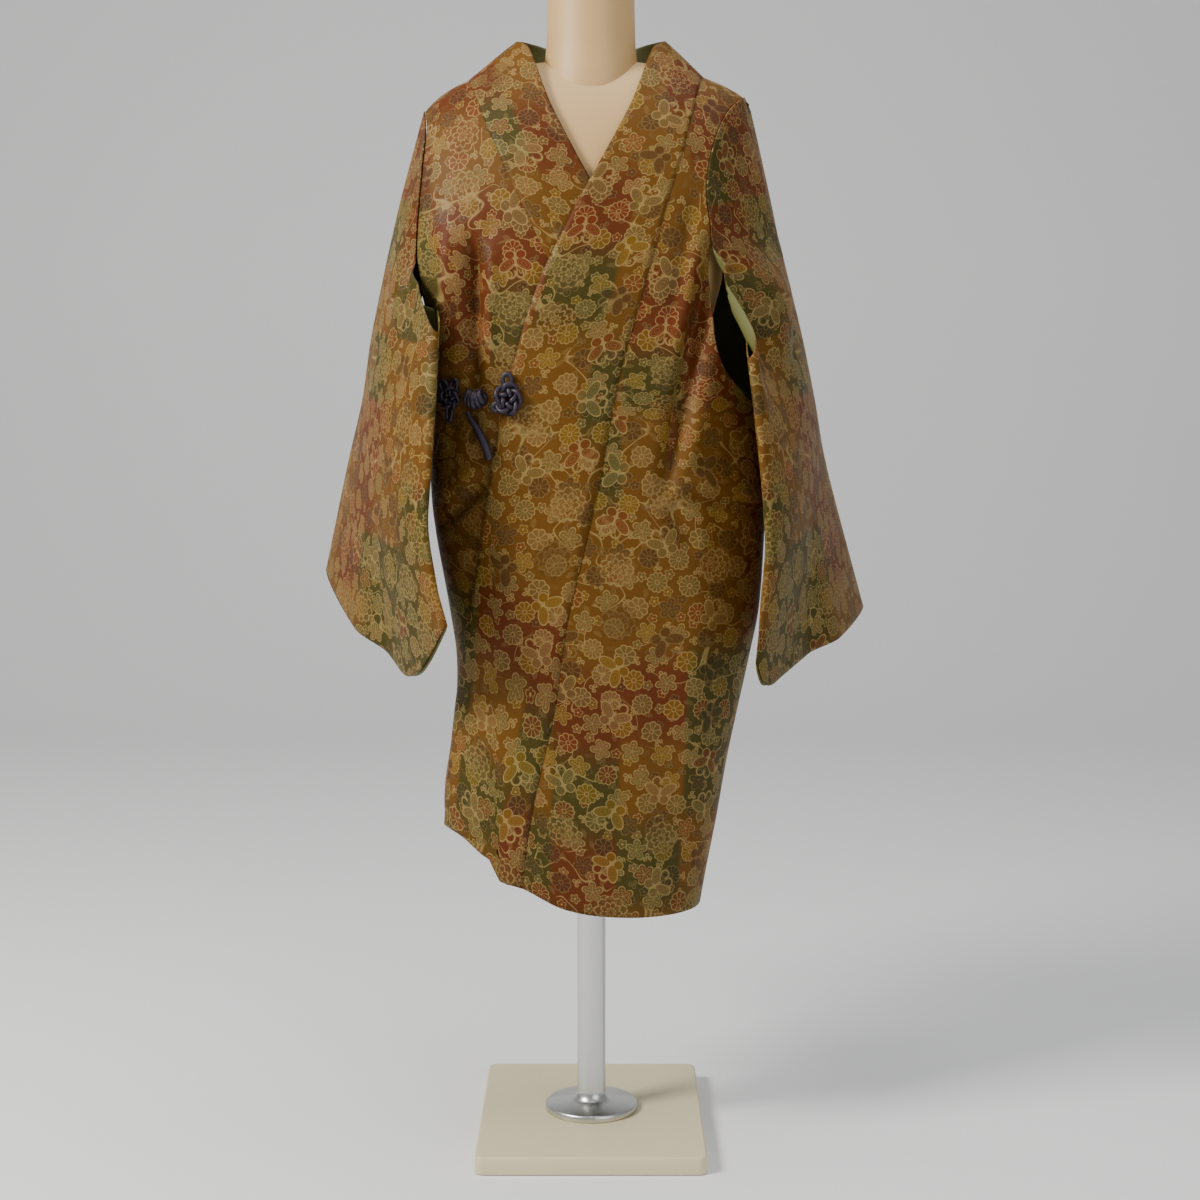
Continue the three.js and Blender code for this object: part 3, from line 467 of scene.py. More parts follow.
# %% [markdown]
# ## Formulas in shader nodes
# The pattern of the real silk is dyed and woven. A picture could be laid on the cloth, but a pattern
# that is worked out by Math nodes is sharp at every size and needs no file. A small class lets its
# formulas be written as formulas: adding or multiplying two numbers adds the node that does it.

# %% Numbers in a node tree


class Num:
    """A number in a node tree. Arithmetic on it adds Math nodes."""

    def __init__(self, tree, out):
        self.tree = tree
        self.out = out

    def __add__(self, other):
        return calc("ADD", self, other)

    def __radd__(self, other):
        return calc("ADD", other, self)

    def __sub__(self, other):
        return calc("SUBTRACT", self, other)

    def __rsub__(self, other):
        return calc("SUBTRACT", other, self)

    def __mul__(self, other):
        return calc("MULTIPLY", self, other)

    def __rmul__(self, other):
        return calc("MULTIPLY", other, self)

    def __truediv__(self, other):
        return calc("DIVIDE", self, other)


def feed(tree, socket, term):
    if isinstance(term, Num):
        tree.links.new(term.out, socket)
    else:
        socket.default_value = term


def calc(operation, *terms):
    tree = next(term.tree for term in terms if isinstance(term, Num))
    node = tree.nodes.new("ShaderNodeMath")
    node.operation = operation
    for socket, term in zip(node.inputs, terms):
        feed(tree, socket, term)
    return Num(tree, node.outputs[0])


def rises(value, low, high):
    """0 below low and 1 above high, with a smooth step between."""
    node = value.tree.nodes.new("ShaderNodeMapRange")
    node.interpolation_type = "SMOOTHSTEP"
    for name, term in (("Value", value), ("From Min", low), ("From Max", high)):
        feed(value.tree, node.inputs[name], term)
    return Num(value.tree, node.outputs["Result"])


def inside(value, limit, soft=0.05):
    return rises(limit - value, -soft, soft)


def stroke(distance, width, soft=0.035):
    return inside(calc("ABSOLUTE", distance), width, soft)


def either(*masks):
    total = masks[0]
    for mask in masks[1:]:
        total = calc("MAXIMUM", total, mask)
    return total


def length_of(x, y):
    return calc("SQRT", x * x + y * y)


def turned_by(x, y, angle):
    """x and y turned by a plain angle, or by a number of the node tree."""
    if isinstance(angle, Num):
        cosine, sine = calc("COSINE", angle), calc("SINE", angle)
    else:
        cosine, sine = math.cos(angle), math.sin(angle)
    return x * cosine + y * sine, y * cosine - x * sine


def chances(x, y, seed):
    """Four even random numbers for a cell of the cloth."""
    tree = x.tree
    joined = tree.nodes.new("ShaderNodeCombineXYZ")
    for socket, term in zip(joined.inputs, (x, y, seed)):
        feed(tree, socket, term)
    noise = tree.nodes.new("ShaderNodeTexWhiteNoise")
    noise.noise_dimensions = "3D"
    tree.links.new(joined.outputs[0], noise.inputs["Vector"])
    parts = tree.nodes.new("ShaderNodeSeparateColor")
    tree.links.new(noise.outputs["Color"], parts.inputs[0])
    return [Num(tree, noise.outputs["Value"])] + [Num(tree, out) for out in parts.outputs]


def between_limits(value, low, high):
    return calc("GREATER_THAN", value, low) * calc("LESS_THAN", value, high)


# %% [markdown]
# ## The woven motifs
# On the real cloth the motifs are woven into the ground with coloured yarns and edged in a light one.
# Each is drawn here by a formula in its own square, from -1 to 1, and the numbers in the formula are
# the drawing's proportions, such as a radius, a width or a count of petals. It gives two masks: the
# filled shape, and the lines over it. All are plain flower, leaf and insect forms. Every motif takes
# the same values, so that they can be called alike: x, y, the radius r, the turn and a chance.

# %% Motif shapes


def wheel_flower(x, y, r, turn, chance):
    petals = 8 + 2 * calc("FLOOR", chance * 2.99)
    petal = calc("ABSOLUTE", calc("COSINE", turn * petals * 0.5))
    rim = 0.84 + 0.14 * petal
    whole = inside(r, rim)
    spokes = inside(petal, 0.30, 0.12) * inside(r, 0.80) * rises(r, 0.22, 0.30)
    return whole, either(stroke(r - rim, 0.05), spokes * 0.8, stroke(r - 0.2, 0.04))


def lobed_leaf(x, y, r, turn, chance):
    lobe = calc("ABSOLUTE", calc("COSINE", turn * 2.5))
    rim = 0.40 + 0.54 * calc("POWER", lobe, 0.8)
    vein = stroke(calc("SINE", turn * 2.5) * r, 0.045) * inside(r, 0.74)
    ribs = stroke(calc("FRACT", r * 4.5 - lobe * 1.4) - 0.5, 0.10, 0.08) * inside(r, rim * 0.86)
    return inside(r, rim), either(stroke(r - rim, 0.05), vein, ribs * 0.75)


def drawn_bloom(x, y, r, turn, chance):
    rim = 0.80 + 0.18 * calc("ABSOLUTE", calc("COSINE", turn * 4.5))
    ring = calc("FLOOR", r * 3.4)
    petal = calc("ABSOLUTE", calc("SINE", turn * 4.5 + ring * 1.57))
    scale = calc("FRACT", r * 3.4)
    arcs = stroke(scale - 0.30 - 0.55 * petal, 0.15, 0.10)
    return inside(r, rim) * 0.45, arcs * inside(r, rim) * 0.8


def winged_insect(x, y, r, turn, chance):
    across = calc("ABSOLUTE", x)
    dx, dy = turned_by(across - 0.45, y - 0.16, 0.62)
    upper = length_of(dx / 0.50, dy / 0.27)
    lower = length_of((across - 0.30) / 0.27, (y + 0.40) / 0.25)
    wing = calc("MINIMUM", upper, lower)
    body = stroke(x, 0.055) * inside(calc("ABSOLUTE", y + 0.12), 0.42)
    feeler = stroke(length_of(across - 0.27, y - 0.62) - 0.24, 0.045) * rises(y, 0.42, 0.55)
    rays = stroke(calc("SINE", upper * 9.0), 0.35, 0.2) * inside(upper, 0.9)
    return inside(wing, 1.0), either(stroke(wing - 1.0, 0.09), body, feeler, rays * 0.4)


def line_burst(x, y, r, turn, chance):
    sector = inside(calc("ABSOLUTE", turn), 1.15) * inside(r, 0.92) * rises(r, 0.2, 0.3)
    rays = stroke(calc("SINE", turn * 15.0), 0.42, 0.2)
    return sector * 0.0, sector * rays * 0.75


def berries(x, y, r, turn, chance):
    first = length_of(x - 0.38, y - 0.22)
    second = length_of(x + 0.34, y - 0.34)
    third = length_of(x - 0.02, y + 0.38)
    fruit = calc("MINIMUM", calc("MINIMUM", first, second), third)
    stem = stroke(length_of(x + 0.5, y + 0.1) - 0.55, 0.04) * inside(r, 0.85)
    return inside(fruit, 0.26), either(stroke(fruit - 0.27, 0.07), stem)


def tiny_bloom(x, y, r, turn, chance):
    rim = 0.50 + 0.36 * calc("ABSOLUTE", calc("COSINE", turn * 2.5))
    return inside(r, rim), either(stroke(r - rim, 0.07, 0.06), inside(r, 0.20))


# %% [markdown]
# The real pattern crowds large, middle and small motifs over the whole cloth. Placing each by hand
# would take hundreds of shapes, so one node group for each size scatters them: the cloth is cut into
# squares, and each square picks a motif, a turn, a place and a size by chance. A motif has the share
# of the squares that lies between its start and its end. Each group draws only its own motifs, which
# keeps the shader small.

# %% Node groups that scatter motifs
Motif = namedtuple("Motif", "draw start end")
Scatter = namedtuple("Scatter", "name cell grid_turn seed crowd strength motifs")
COLUMN_STAGGER = 0.5
SEED_SHIFT = 0.37
MOTIF_SIZE, SIZE_CHANCE = 0.36, 0.07
SCATTERS = [
    Scatter("large motifs", 0.054, 0.0, 1.0, 0.13, 0.70, [
        Motif(winged_insect, -0.01, 0.40), Motif(drawn_bloom, 0.40, 0.74),
    ]),
    Scatter("middle motifs", 0.030, 0.35, 2.0, 0.13, 0.70, [
        Motif(wheel_flower, -0.01, 0.47), Motif(lobed_leaf, 0.47, 0.97),
    ]),
    Scatter("small motifs", 0.0165, 1.05, 4.0, 0.13, 0.60, [
        Motif(tiny_bloom, -0.01, 0.50), Motif(berries, 0.50, 0.78), Motif(line_burst, 0.78, 1.01),
    ]),
]


def scatter_group(spec):
    group = bpy.data.node_groups.new(spec.name, "ShaderNodeTree")
    for name in ("U", "V"):
        group.interface.new_socket(name, in_out="INPUT", socket_type="NodeSocketFloat")
    for name in ("Fill", "Line", "Tone"):
        group.interface.new_socket(name, in_out="OUTPUT", socket_type="NodeSocketFloat")
    given = group.nodes.new("NodeGroupInput")
    result = group.nodes.new("NodeGroupOutput")
    u, v = (Num(group, given.outputs[k]) for k in range(2))
    across = math.cos(spec.grid_turn) / spec.cell
    along = math.sin(spec.grid_turn) / spec.cell
    x, y = u * across + v * along, v * across - u * along
    column = calc("FLOOR", x)
    y = y + COLUMN_STAGGER * calc("FLOORED_MODULO", column, 2.0) + spec.seed * SEED_SHIFT
    row = calc("FLOOR", y)
    kind, one, two, three = chances(column, row, spec.seed)
    x = calc("FRACT", x) - 0.5 - (one - 0.5) * spec.crowd
    y = calc("FRACT", y) - 0.5 - (two - 0.5) * spec.crowd
    x, y = turned_by(x, y, three * math.tau)
    size = MOTIF_SIZE + SIZE_CHANCE * one
    x, y = x / size, y / size
    r = length_of(x, y)
    turn = calc("ARCTAN2", y, x)
    fill = line = None
    for motif in spec.motifs:
        shape, yarn = motif.draw(x, y, r, turn, two)
        chosen = between_limits(kind, motif.start, motif.end)
        fill = shape * chosen if fill is None else fill + shape * chosen
        line = yarn * chosen if line is None else line + yarn * chosen
    for socket, term in zip(result.inputs, (fill, line, three)):
        group.links.new(term.out, socket)
    print(spec.name, len(group.nodes), "nodes")
    return group


scatter_groups = [scatter_group(spec) for spec in SCATTERS]

# %% [markdown]
# ## The ground of the cloth
# The ground is dyed in columns about 70 mm wide. Along a column the colour fades from patch to patch,
# each about 90 mm long, while the sides of the columns are fairly sharp. A noise texture would give
# round clouds, so each column picks its colours by chance and fades between them along the cloth.

# %% Ground colours
COLUMN_WIDTH = 0.072
PATCH_LENGTH = 0.092
COLUMN_CHANCE, PATCH_CHANCE = 3.0, 5.0
COLUMN_SHIFT = 9.0
PATCH_FADE, COLUMN_FADE = (0.45, 1.0), (0.90, 1.0)
GROUND = [
    (0.0, (0.112, 0.045, 0.0028)), (0.38, (0.092, 0.021, 0.0022)), (0.66, (0.046, 0.035, 0.0034)),
]
YARN_TONES = [
    (0.0, (0.125, 0.100, 0.028)), (0.24, (0.185, 0.105, 0.005)), (0.42, (0.150, 0.024, 0.005)),
    (0.56, (0.024, 0.013, 0.005)), (0.80, (0.200, 0.118, 0.038)),
]
CREAM = (0.380, 0.265, 0.090)


def tone_ramp(tree, value, tones):
    node = tree.nodes.new("ShaderNodeValToRGB")
    node.color_ramp.interpolation = "CONSTANT"
    steps = node.color_ramp.elements
    while len(steps) < len(tones):
        steps.new(1.0)
    for step, (place, _colour) in zip(steps, tones):
        step.position = place
    for step, (_place, colour) in zip(steps, tones):
        step.color = (*colour, 1.0)
    feed(tree, node.inputs["Fac"], value)
    return node.outputs["Color"]


def blend_colours(tree, share, first, second):
    node = tree.nodes.new("ShaderNodeMix")
    node.data_type = "RGBA"
    feed(tree, node.inputs["Factor"], share)
    for socket, colour in ((node.inputs[6], first), (node.inputs[7], second)):
        if isinstance(colour, tuple):
            socket.default_value = (*colour, 1.0)
        else:
            tree.links.new(colour, socket)
    return node.outputs[2]


def patch_colour(tree, column, v):
    """The colour of one column at a place along it."""
    shift = chances(column, column, COLUMN_CHANCE)[0]
    along = v / PATCH_LENGTH + shift * COLUMN_SHIFT
    patch = calc("FLOOR", along)
    here = tone_ramp(tree, chances(column, patch, PATCH_CHANCE)[0], GROUND)
    ahead = tone_ramp(tree, chances(column, patch + 1.0, PATCH_CHANCE)[0], GROUND)
    return blend_colours(tree, rises(calc("FRACT", along), *PATCH_FADE), here, ahead)


def ground_colour(tree, u, v):
    across = u / COLUMN_WIDTH + 0.5
    column = calc("FLOOR", across)
    edge = rises(calc("FRACT", across), *COLUMN_FADE)
    here = patch_colour(tree, column, v)
    beside = patch_colour(tree, column + 1.0, v)
    return blend_colours(tree, edge, here, beside)


# %% [markdown]
# ## The silk
# The finish is a soft satin: dyed ground, fine tendrils, the motifs over them, and a weave that is
# only felt as a slight relief. A glossy or velvety shader would look pale here, so the roughness is
# middling and the sheen faint. A later size of motif keeps clear of the earlier, larger ones.

# %% The silk
TENDRIL_SCALE, TENDRIL_BEND, TENDRIL_WIDTH, TENDRIL_SOFT = 26.0, 0.6, 0.012, 0.008
TENDRIL_PATCHES, TENDRIL_LIMITS, TENDRIL_STRENGTH = 17.0, (0.46, 0.52), 0.50
YARN_SHARE, LIGHT_SHARE, DARK_SHARE = 0.42, 0.35, 0.6
DARK_TONES = (0.56, 0.80)
LINE_STRENGTH = 0.80
WEAVE, WEAVE_DEEP, CROSS_WEAVE, CROSS_DEEP = 1400.0, 0.10, 1.3, 0.06
SLUB_SCALE, SLUB_STRETCH, SLUB_DEEP = 420.0, 0.12, 0.5
BUMP_STRENGTH, BUMP_HEIGHT = 0.35, 0.00025
SILK_ROUGHNESS, RAISED_SHARE, RAISED_GLOSS = 0.58, 0.6, 0.08
SHEEN, SHEEN_ROUGHNESS, SHEEN_TINT = 0.03, 0.35, (1.0, 0.86, 0.62, 1.0)
SPECULAR = 0.14


def noise_at(tree, u, v, scale, detail=1.0, distortion=0.0):
    joined = tree.nodes.new("ShaderNodeCombineXYZ")
    feed(tree, joined.inputs[0], u)
    feed(tree, joined.inputs[1], v)
    noise = tree.nodes.new("ShaderNodeTexNoise")
    noise.noise_dimensions = "2D"
    noise.inputs["Scale"].default_value = scale
    noise.inputs["Detail"].default_value = detail
    noise.inputs["Distortion"].default_value = distortion
    tree.links.new(joined.outputs[0], noise.inputs["Vector"])
    return Num(tree, noise.outputs["Fac"])


def tendrils(tree, u, v):
    """Thin winding lines, which show in some patches of the cloth only."""
    line = noise_at(tree, u, v, TENDRIL_SCALE, 0.0, TENDRIL_BEND) - 0.5
    vine = stroke(line, TENDRIL_WIDTH, TENDRIL_SOFT)
    return vine * rises(noise_at(tree, u, v, TENDRIL_PATCHES), *TENDRIL_LIMITS)


def motif_layers(tree, u, v, ground, colour, raised):
    """The three sizes of motif laid over a colour, and the mask of all that is woven over the ground."""
    free = None
    for spec, scatter in zip(SCATTERS, scatter_groups):
        group = tree.nodes.new("ShaderNodeGroup")
        group.node_tree = scatter
        for socket, term in zip(group.inputs, (u, v)):
            feed(tree, socket, term)
        fill, line, tone = (Num(tree, out) for out in group.outputs)
        if free is not None:
            fill, line = fill * free, line * free
        yarn = blend_colours(tree, YARN_SHARE, tone_ramp(tree, tone, YARN_TONES), ground)
        light = blend_colours(tree, LIGHT_SHARE, CREAM, ground)
        dark = between_limits(tone, *DARK_TONES)
        outline = blend_colours(tree, dark * DARK_SHARE, light, yarn)
        colour = blend_colours(tree, fill * spec.strength, colour, yarn)
        colour = blend_colours(tree, line * LINE_STRENGTH, colour, outline)
        raised = either(raised, fill * RAISED_SHARE, line)
        open_here = 1.0 - either(fill, line)
        free = open_here if free is None else free * open_here
    return colour, raised


def weave_bump(tree, u, v):
    weave = calc("SINE", (u + v) * WEAVE) * WEAVE_DEEP
    weave = weave + calc("SINE", (u - v) * WEAVE * CROSS_WEAVE) * CROSS_DEEP
    slub = noise_at(tree, u, v * SLUB_STRETCH, SLUB_SCALE, 2.0)
    bump = tree.nodes.new("ShaderNodeBump")
    bump.inputs["Strength"].default_value = BUMP_STRENGTH
    bump.inputs["Distance"].default_value = BUMP_HEIGHT
    feed(tree, bump.inputs["Height"], weave + slub * SLUB_DEEP)
    return bump.outputs[0]


def figured_silk(name):
    made = bpy.data.materials.new(name)
    made.use_nodes = True
    tree = made.node_tree
    shader = tree.nodes["Principled BSDF"]
    place = tree.nodes.new("ShaderNodeUVMap")
    place.uv_map = "cut"
    parts = tree.nodes.new("ShaderNodeSeparateXYZ")
    tree.links.new(place.outputs[0], parts.inputs[0])
    u, v = Num(tree, parts.outputs[0]), Num(tree, parts.outputs[1])

    ground = ground_colour(tree, u, v)
    vine = tendrils(tree, u, v)
    colour = blend_colours(tree, vine * TENDRIL_STRENGTH, ground, CREAM)
    colour, raised = motif_layers(tree, u, v, ground, colour, vine)
    tree.links.new(colour, shader.inputs["Base Color"])
    tree.links.new(weave_bump(tree, u, v), shader.inputs["Normal"])
    feed(tree, shader.inputs["Roughness"], SILK_ROUGHNESS - raised * RAISED_GLOSS)
    shader.inputs["Sheen Weight"].default_value = SHEEN
    shader.inputs["Sheen Roughness"].default_value = SHEEN_ROUGHNESS
    shader.inputs["Sheen Tint"].default_value = SHEEN_TINT
    shader.inputs["Specular IOR Level"].default_value = SPECULAR
    return made


# %% [markdown]
# ## Plain finishes
# The lining, the cord, the form's cover, the painted plate and the plated pole are even in colour on
# the real object. Each could have a texture of its own, but none is seen to have a grain at this
# distance, so a colour and a roughness are enough.

# %% Plain finishes


def plain_material(name, colour, roughness, metallic=0.0):
    made = bpy.data.materials.new(name)
    made.use_nodes = True
    shader = made.node_tree.nodes["Principled BSDF"]
    shader.inputs["Base Color"].default_value = (*colour, 1.0)
    shader.inputs["Roughness"].default_value = roughness
    shader.inputs["Metallic"].default_value = metallic
    return made


silk = figured_silk("figured silk")
lining = plain_material("lining", (0.115, 0.115, 0.028), 0.6)
cord_material = plain_material("cord", (0.012, 0.006, 0.018), 0.5)
cover = plain_material("form cover", (0.54, 0.34, 0.14), 0.5)
plate_paint = plain_material("plate paint", (0.66, 0.58, 0.36), 0.45)
pole_metal = plain_material("pole metal", (0.6, 0.6, 0.58), 0.3, 1.0)
print("silk", len(silk.node_tree.nodes), "nodes")

# %% [markdown]
# ## The two body strips
# Each strip runs from the front hem over the shoulder to the back hem, with no seam on the shoulder.
# A front and a back could be built apart and joined, but the real cloth is one piece, so the rows of
# one grid follow it up the front, over the arch and down the back.

# %% Body strips
UPRIGHT_ROWS = 120
ARCH_ROWS = 50
PANEL_COLUMNS = 64
SEAM_TUCK = 0.012  # the strip runs this far under the collar band, as an angle
BACK_TURN = 0.0005  # the strips stop this far short of the back's middle line, as an angle


def body_grid(side):
    share = np.linspace(0, 1, PANEL_COLUMNS + 1)

    def front_angle(height):
        seam = angle_at(height, band_x(side, height, "seam")) - side * SEAM_TUCK
        return mix(seam, side_angle(FRONT, side, height), share)

    def back_angle(height):
        return mix(side * BACK_TURN, side_angle(BACK, side, height), share)

    made = []
    for j in range(UPRIGHT_ROWS + 1):
        made.append(upright_cloth(FRONT, side, j / UPRIGHT_ROWS, front_angle))
    for j in range(1, 2 * ARCH_ROWS):
        face = FRONT if j <= ARCH_ROWS else BACK
        rise = j / ARCH_ROWS if face == FRONT else 2 - j / ARCH_ROWS
        tip = side_angle(face, side, ARCH_FOOT + math.sin(rise * math.pi / 2) * TIP_RIDGE)
        seam = inner_angle(face, side, rise) - side * SEAM_TUCK
        made.append(arch_cloth(face, side, mix(seam, tip, share), np.full(share.shape, rise)))
    for j in range(UPRIGHT_ROWS + 1):
        made.append(upright_cloth(BACK, side, 1 - j / UPRIGHT_ROWS, back_angle))
    return np.array(made)


def body_flat(grid, side):
    """Places on the cut strip: width from the body's middle line, and length from the front hem."""
    from_middle = np.abs(grid[:, :1, 0]) * MM * np.sign(side * grid[:, :1, 0])
    across = lengths_along(grid, 1) + from_middle
    down = lengths_along(grid, 0)
    middle = down[:, down.shape[1] // 2][:, None]
    return np.stack([across, np.broadcast_to(middle, across.shape)], -1)


for side, name in ((LEFT, "left"), (RIGHT, "right")):
    grid = body_grid(side)
    panel = sheet_object("coat_body_" + name, grid, body_flat(grid, side), turned=side == RIGHT)
    coat_pieces.append(give_thickness(panel, silk, lining))
    print(panel.name, len(panel.data.polygons), "faces")

# %% [markdown]
# ## The collar band
# One strip runs from the outer front's hem round the neck to the inner front's hem. It could be cut
# out of the body's surface, but on the real coat it is a strip of its own that is sewn on, so it has
# a grid of its own that lies a little off the fronts and stands up round the neck.

# %% Collar band
BAND_COLUMNS = 18
SOLID_ARCH_ROWS = 10  # the rows of NECK_EDGE are counted as on the plain solid
SHOULDER_LIFT, LIFT_FROM = 24.0, 0.5
NeckEdge = namedtuple("NeckEdge", "row x y z")
NECK_EDGE = [
    NeckEdge(6, 0, 97, 1204), NeckEdge(7, 38, 89, 1207),
    NeckEdge(8, 63, 66, 1211), NeckEdge(9, 75, 35, 1209),
]


def front_edge_at_shoulder(side):
    """The free edge of the band on the shoulder line, where the front half ends."""
    x = np.array([band_x(side, ARCH_FOOT + SEAM_RIDGE, "edge")])
    place = arch_cloth(FRONT, side, angle_at(ARCH_FOOT, x), np.array([1.0]), BAND_RISE)[0]
    place[2] += SHOULDER_LIFT
    return place


def collar_half(side):
    share = np.linspace(0, 1, BAND_COLUMNS + 1)

    def angle(height):
        seam = angle_at(height, band_x(side, height, "seam"))
        return mix(seam, angle_at(height, band_x(side, height, "edge")), share)

    made = []
    for j in range(UPRIGHT_ROWS + 1):
        made.append(upright_cloth(FRONT, side, j / UPRIGHT_ROWS, angle, BAND_RISE))
    for j in range(1, ARCH_ROWS + 1):
        rise = j / ARCH_ROWS
        level = ARCH_FOOT + math.sin(rise * math.pi / 2) * SEAM_RIDGE
        x = mix(band_x(side, level, "seam"), band_x(side, level, "edge"), share)
        row = arch_cloth(FRONT, side, angle_at(ARCH_FOOT, x), np.full(x.shape, rise), BAND_RISE)
        row[:, 2] += SHOULDER_LIFT * smooth(LIFT_FROM, 1, rise) * share
        made.append(row)
    tip = front_edge_at_shoulder(side)
    knots = [NeckEdge(10, side * tip[0], tip[1], tip[2])] + NECK_EDGE[::-1]
    knots = sorted(knots, key=lambda spot: spot.row)
    back_rows = round(ARCH_ROWS * (1 - NECK_LOW))
    for j in range(1, back_rows + 1):
        rise = 1 - j / ARCH_ROWS
        turn = np.array([inner_angle(BACK, side, rise)])
        seam = arch_cloth(BACK, side, turn, np.array([rise]), BAND_RISE)[0]
        at = rise * SOLID_ARCH_ROWS
        edge = np.array([between(knots, at, "row", key) for key in ("x", "y", "z")])
        edge[0] = side * edge[0]
        made.append(mix(seam, edge, share[:, None]))
    return made


left_rows = collar_half(LEFT)
right_rows = collar_half(RIGHT)[::-1][1:]
grid = np.array(left_rows + right_rows)
along = lengths_along(grid, 0)
along = along[:, BAND_COLUMNS // 2][:, None]
flat = np.stack([lengths_along(grid, 1), np.broadcast_to(along, grid.shape[:2])], -1)
collar = give_thickness(sheet_object("coat_collar", grid, flat, turned=True), silk, lining)
coat_pieces.append(collar)
print(collar.name, len(collar.data.polygons), "faces, length", round(float(along.max()), 3))

# %% [markdown]
# ## The sleeves
# Each sleeve is a flat bag that hangs from the armhole and fans out to the cuff. It could be a tube,
# like the sleeve of a shirt, but the real one is cut square and folded along its top. So each row of
# the table gives the place of the fold and of the lower seam, and two bulging layers join them.

# %% Tables of the sleeves
SleeveRow = namedtuple("SleeveRow", "along fold_x fold_y fold_z seam_x seam_y seam_z")
SLEEVE_ROWS = {
    RIGHT: [
        SleeveRow(0, -184, 8, 1112, -158, -128, 888),
        SleeveRow(0.22, -213, 34, 1016, -161, -140, 812),
        SleeveRow(0.46, -243, 74, 897, -166, -150, 734),
        SleeveRow(0.62, -258, 104, 825, -168, -156, 686),
        SleeveRow(0.78, -280, 132, 750, -160, -160, 638),
        SleeveRow(1, -313, 166, 621, -147, -168, 590),
    ],
    LEFT: [
        SleeveRow(0, 173, 8, 1126, 164, -128, 862),
        SleeveRow(0.22, 202, 34, 1016, 172, -140, 790),
        SleeveRow(0.46, 230, 74, 905, 179, -150, 716),
        SleeveRow(0.62, 250, 104, 827, 181, -156, 664),
        SleeveRow(0.78, 269, 132, 747, 176, -160, 612),
        SleeveRow(1, 320, 166, 576, 170, -166, 552),
    ],
}
Sag = namedtuple("Sag", "across drop")
CUFF_SAG = {
    RIGHT: [
        Sag(0, 0), Sag(0.35, 38), Sag(0.6, 64), Sag(0.7, 74), Sag(0.78, 67), Sag(0.86, 47), Sag(1, 0),
    ],
    LEFT: [Sag(0, 0), Sag(0.45, 16), Sag(0.8, 28), Sag(0.9, 31), Sag(0.95, 24), Sag(1, 0)],
}
FULLNESS = {FRONT: 20.0, BACK: 8.0}
CLEARANCE = {FRONT: 22.0, BACK: 3.0}
CLEAR_ABOVE, CLEAR_BELOW = 20, 60  # over these heights about the armhole's foot the clearance fades in
FLANK = 187.0
FLANK_MARGIN = 8
BULGE_SHAPE = 0.6
SAG_FROM = 0.6
CLOSED_FROM, CLOSED_EDGE, CLOSED_FULL = 0.72, (0.41, 0.57), 2.2  # where the cuff's layers come together
SEWN = 0.5
SEWN_END = 0.6
EASE_REACH, CLEAR_REACH = 0.5, 0.2
ARMHOLE_TURN = 0.001
SLEEVE_ALONG = 90
SLEEVE_ACROSS = 60

# %% Sleeve surface


def sleeve_ends(side, along):
    rows = SLEEVE_ROWS[side]
    fold = [between(rows, along, "along", "fold_" + key) for key in "xyz"]
    seam = [between(rows, along, "along", "seam_" + key) for key in "xyz"]
    return np.stack(np.broadcast_arrays(*fold), -1), np.stack(np.broadcast_arrays(*seam), -1)


def armhole_edge(side, face, share):
    top = ARCH_FOOT + TIP_RIDGE
    level = mix(top, ARMHOLE_FOOT[side], share)
    rise = np.arcsin(np.clip((level - ARCH_FOOT) / TIP_RIDGE, 0, 1)) * 2 / math.pi
    turn = side_angle(face, side, level) + side * ARMHOLE_TURN
    return arch_cloth(face, side, turn, rise, SEAM_GAP)


def bag_normal(side, along):
    """The direction square to the bag, from its edges a small step before and after a place."""
    near_fold, near_seam = sleeve_ends(side, np.maximum(0, along - 0.05))
    far_fold, far_seam = sleeve_ends(side, np.minimum(1, along + 0.05))
    fold, seam = sleeve_ends(side, along)
    down = unit(far_fold - near_fold + far_seam - near_seam)
    return unit(np.cross(unit(seam - fold), down) * side)


def bag_bulge(face, across, full):
    """How far a layer stands off the bag's middle sheet, forwards or backwards."""
    return np.maximum(0, np.sin(math.pi * across)) ** BULGE_SHAPE * full * (1 if face == FRONT else -1)


def clear_of_body(side, face, place, share):
    """Points moved sideways where they would lie in the body or touch it."""
    height = np.minimum(place[..., 2], ARCH_FOOT)
    half = np.minimum(FLANK, between(SECTIONS, height, "height", "left" if side == LEFT else "right"))
    front = between(SECTIONS, height, "height", "front")
    back = between(SECTIONS, height, "height", "back")
    depth = np.where(place[..., 1] < 0, front, back) + FLANK_MARGIN
    reach = np.maximum(0, 1 - (np.abs(place[..., 1]) / depth) ** ROUNDNESS) ** (1 / ROUNDNESS)
    clear = (half + FLANK_MARGIN) * reach + CLEARANCE[face]
    foot = ARMHOLE_FOOT[side]
    below = 1 - smooth(foot - CLEAR_BELOW, foot + CLEAR_ABOVE, place[..., 2])
    short = np.maximum(0, clear - np.abs(place[..., 0])) * (reach > 0) * below
    moved = place.copy()
    moved[..., 0] += side * short * share
    return moved


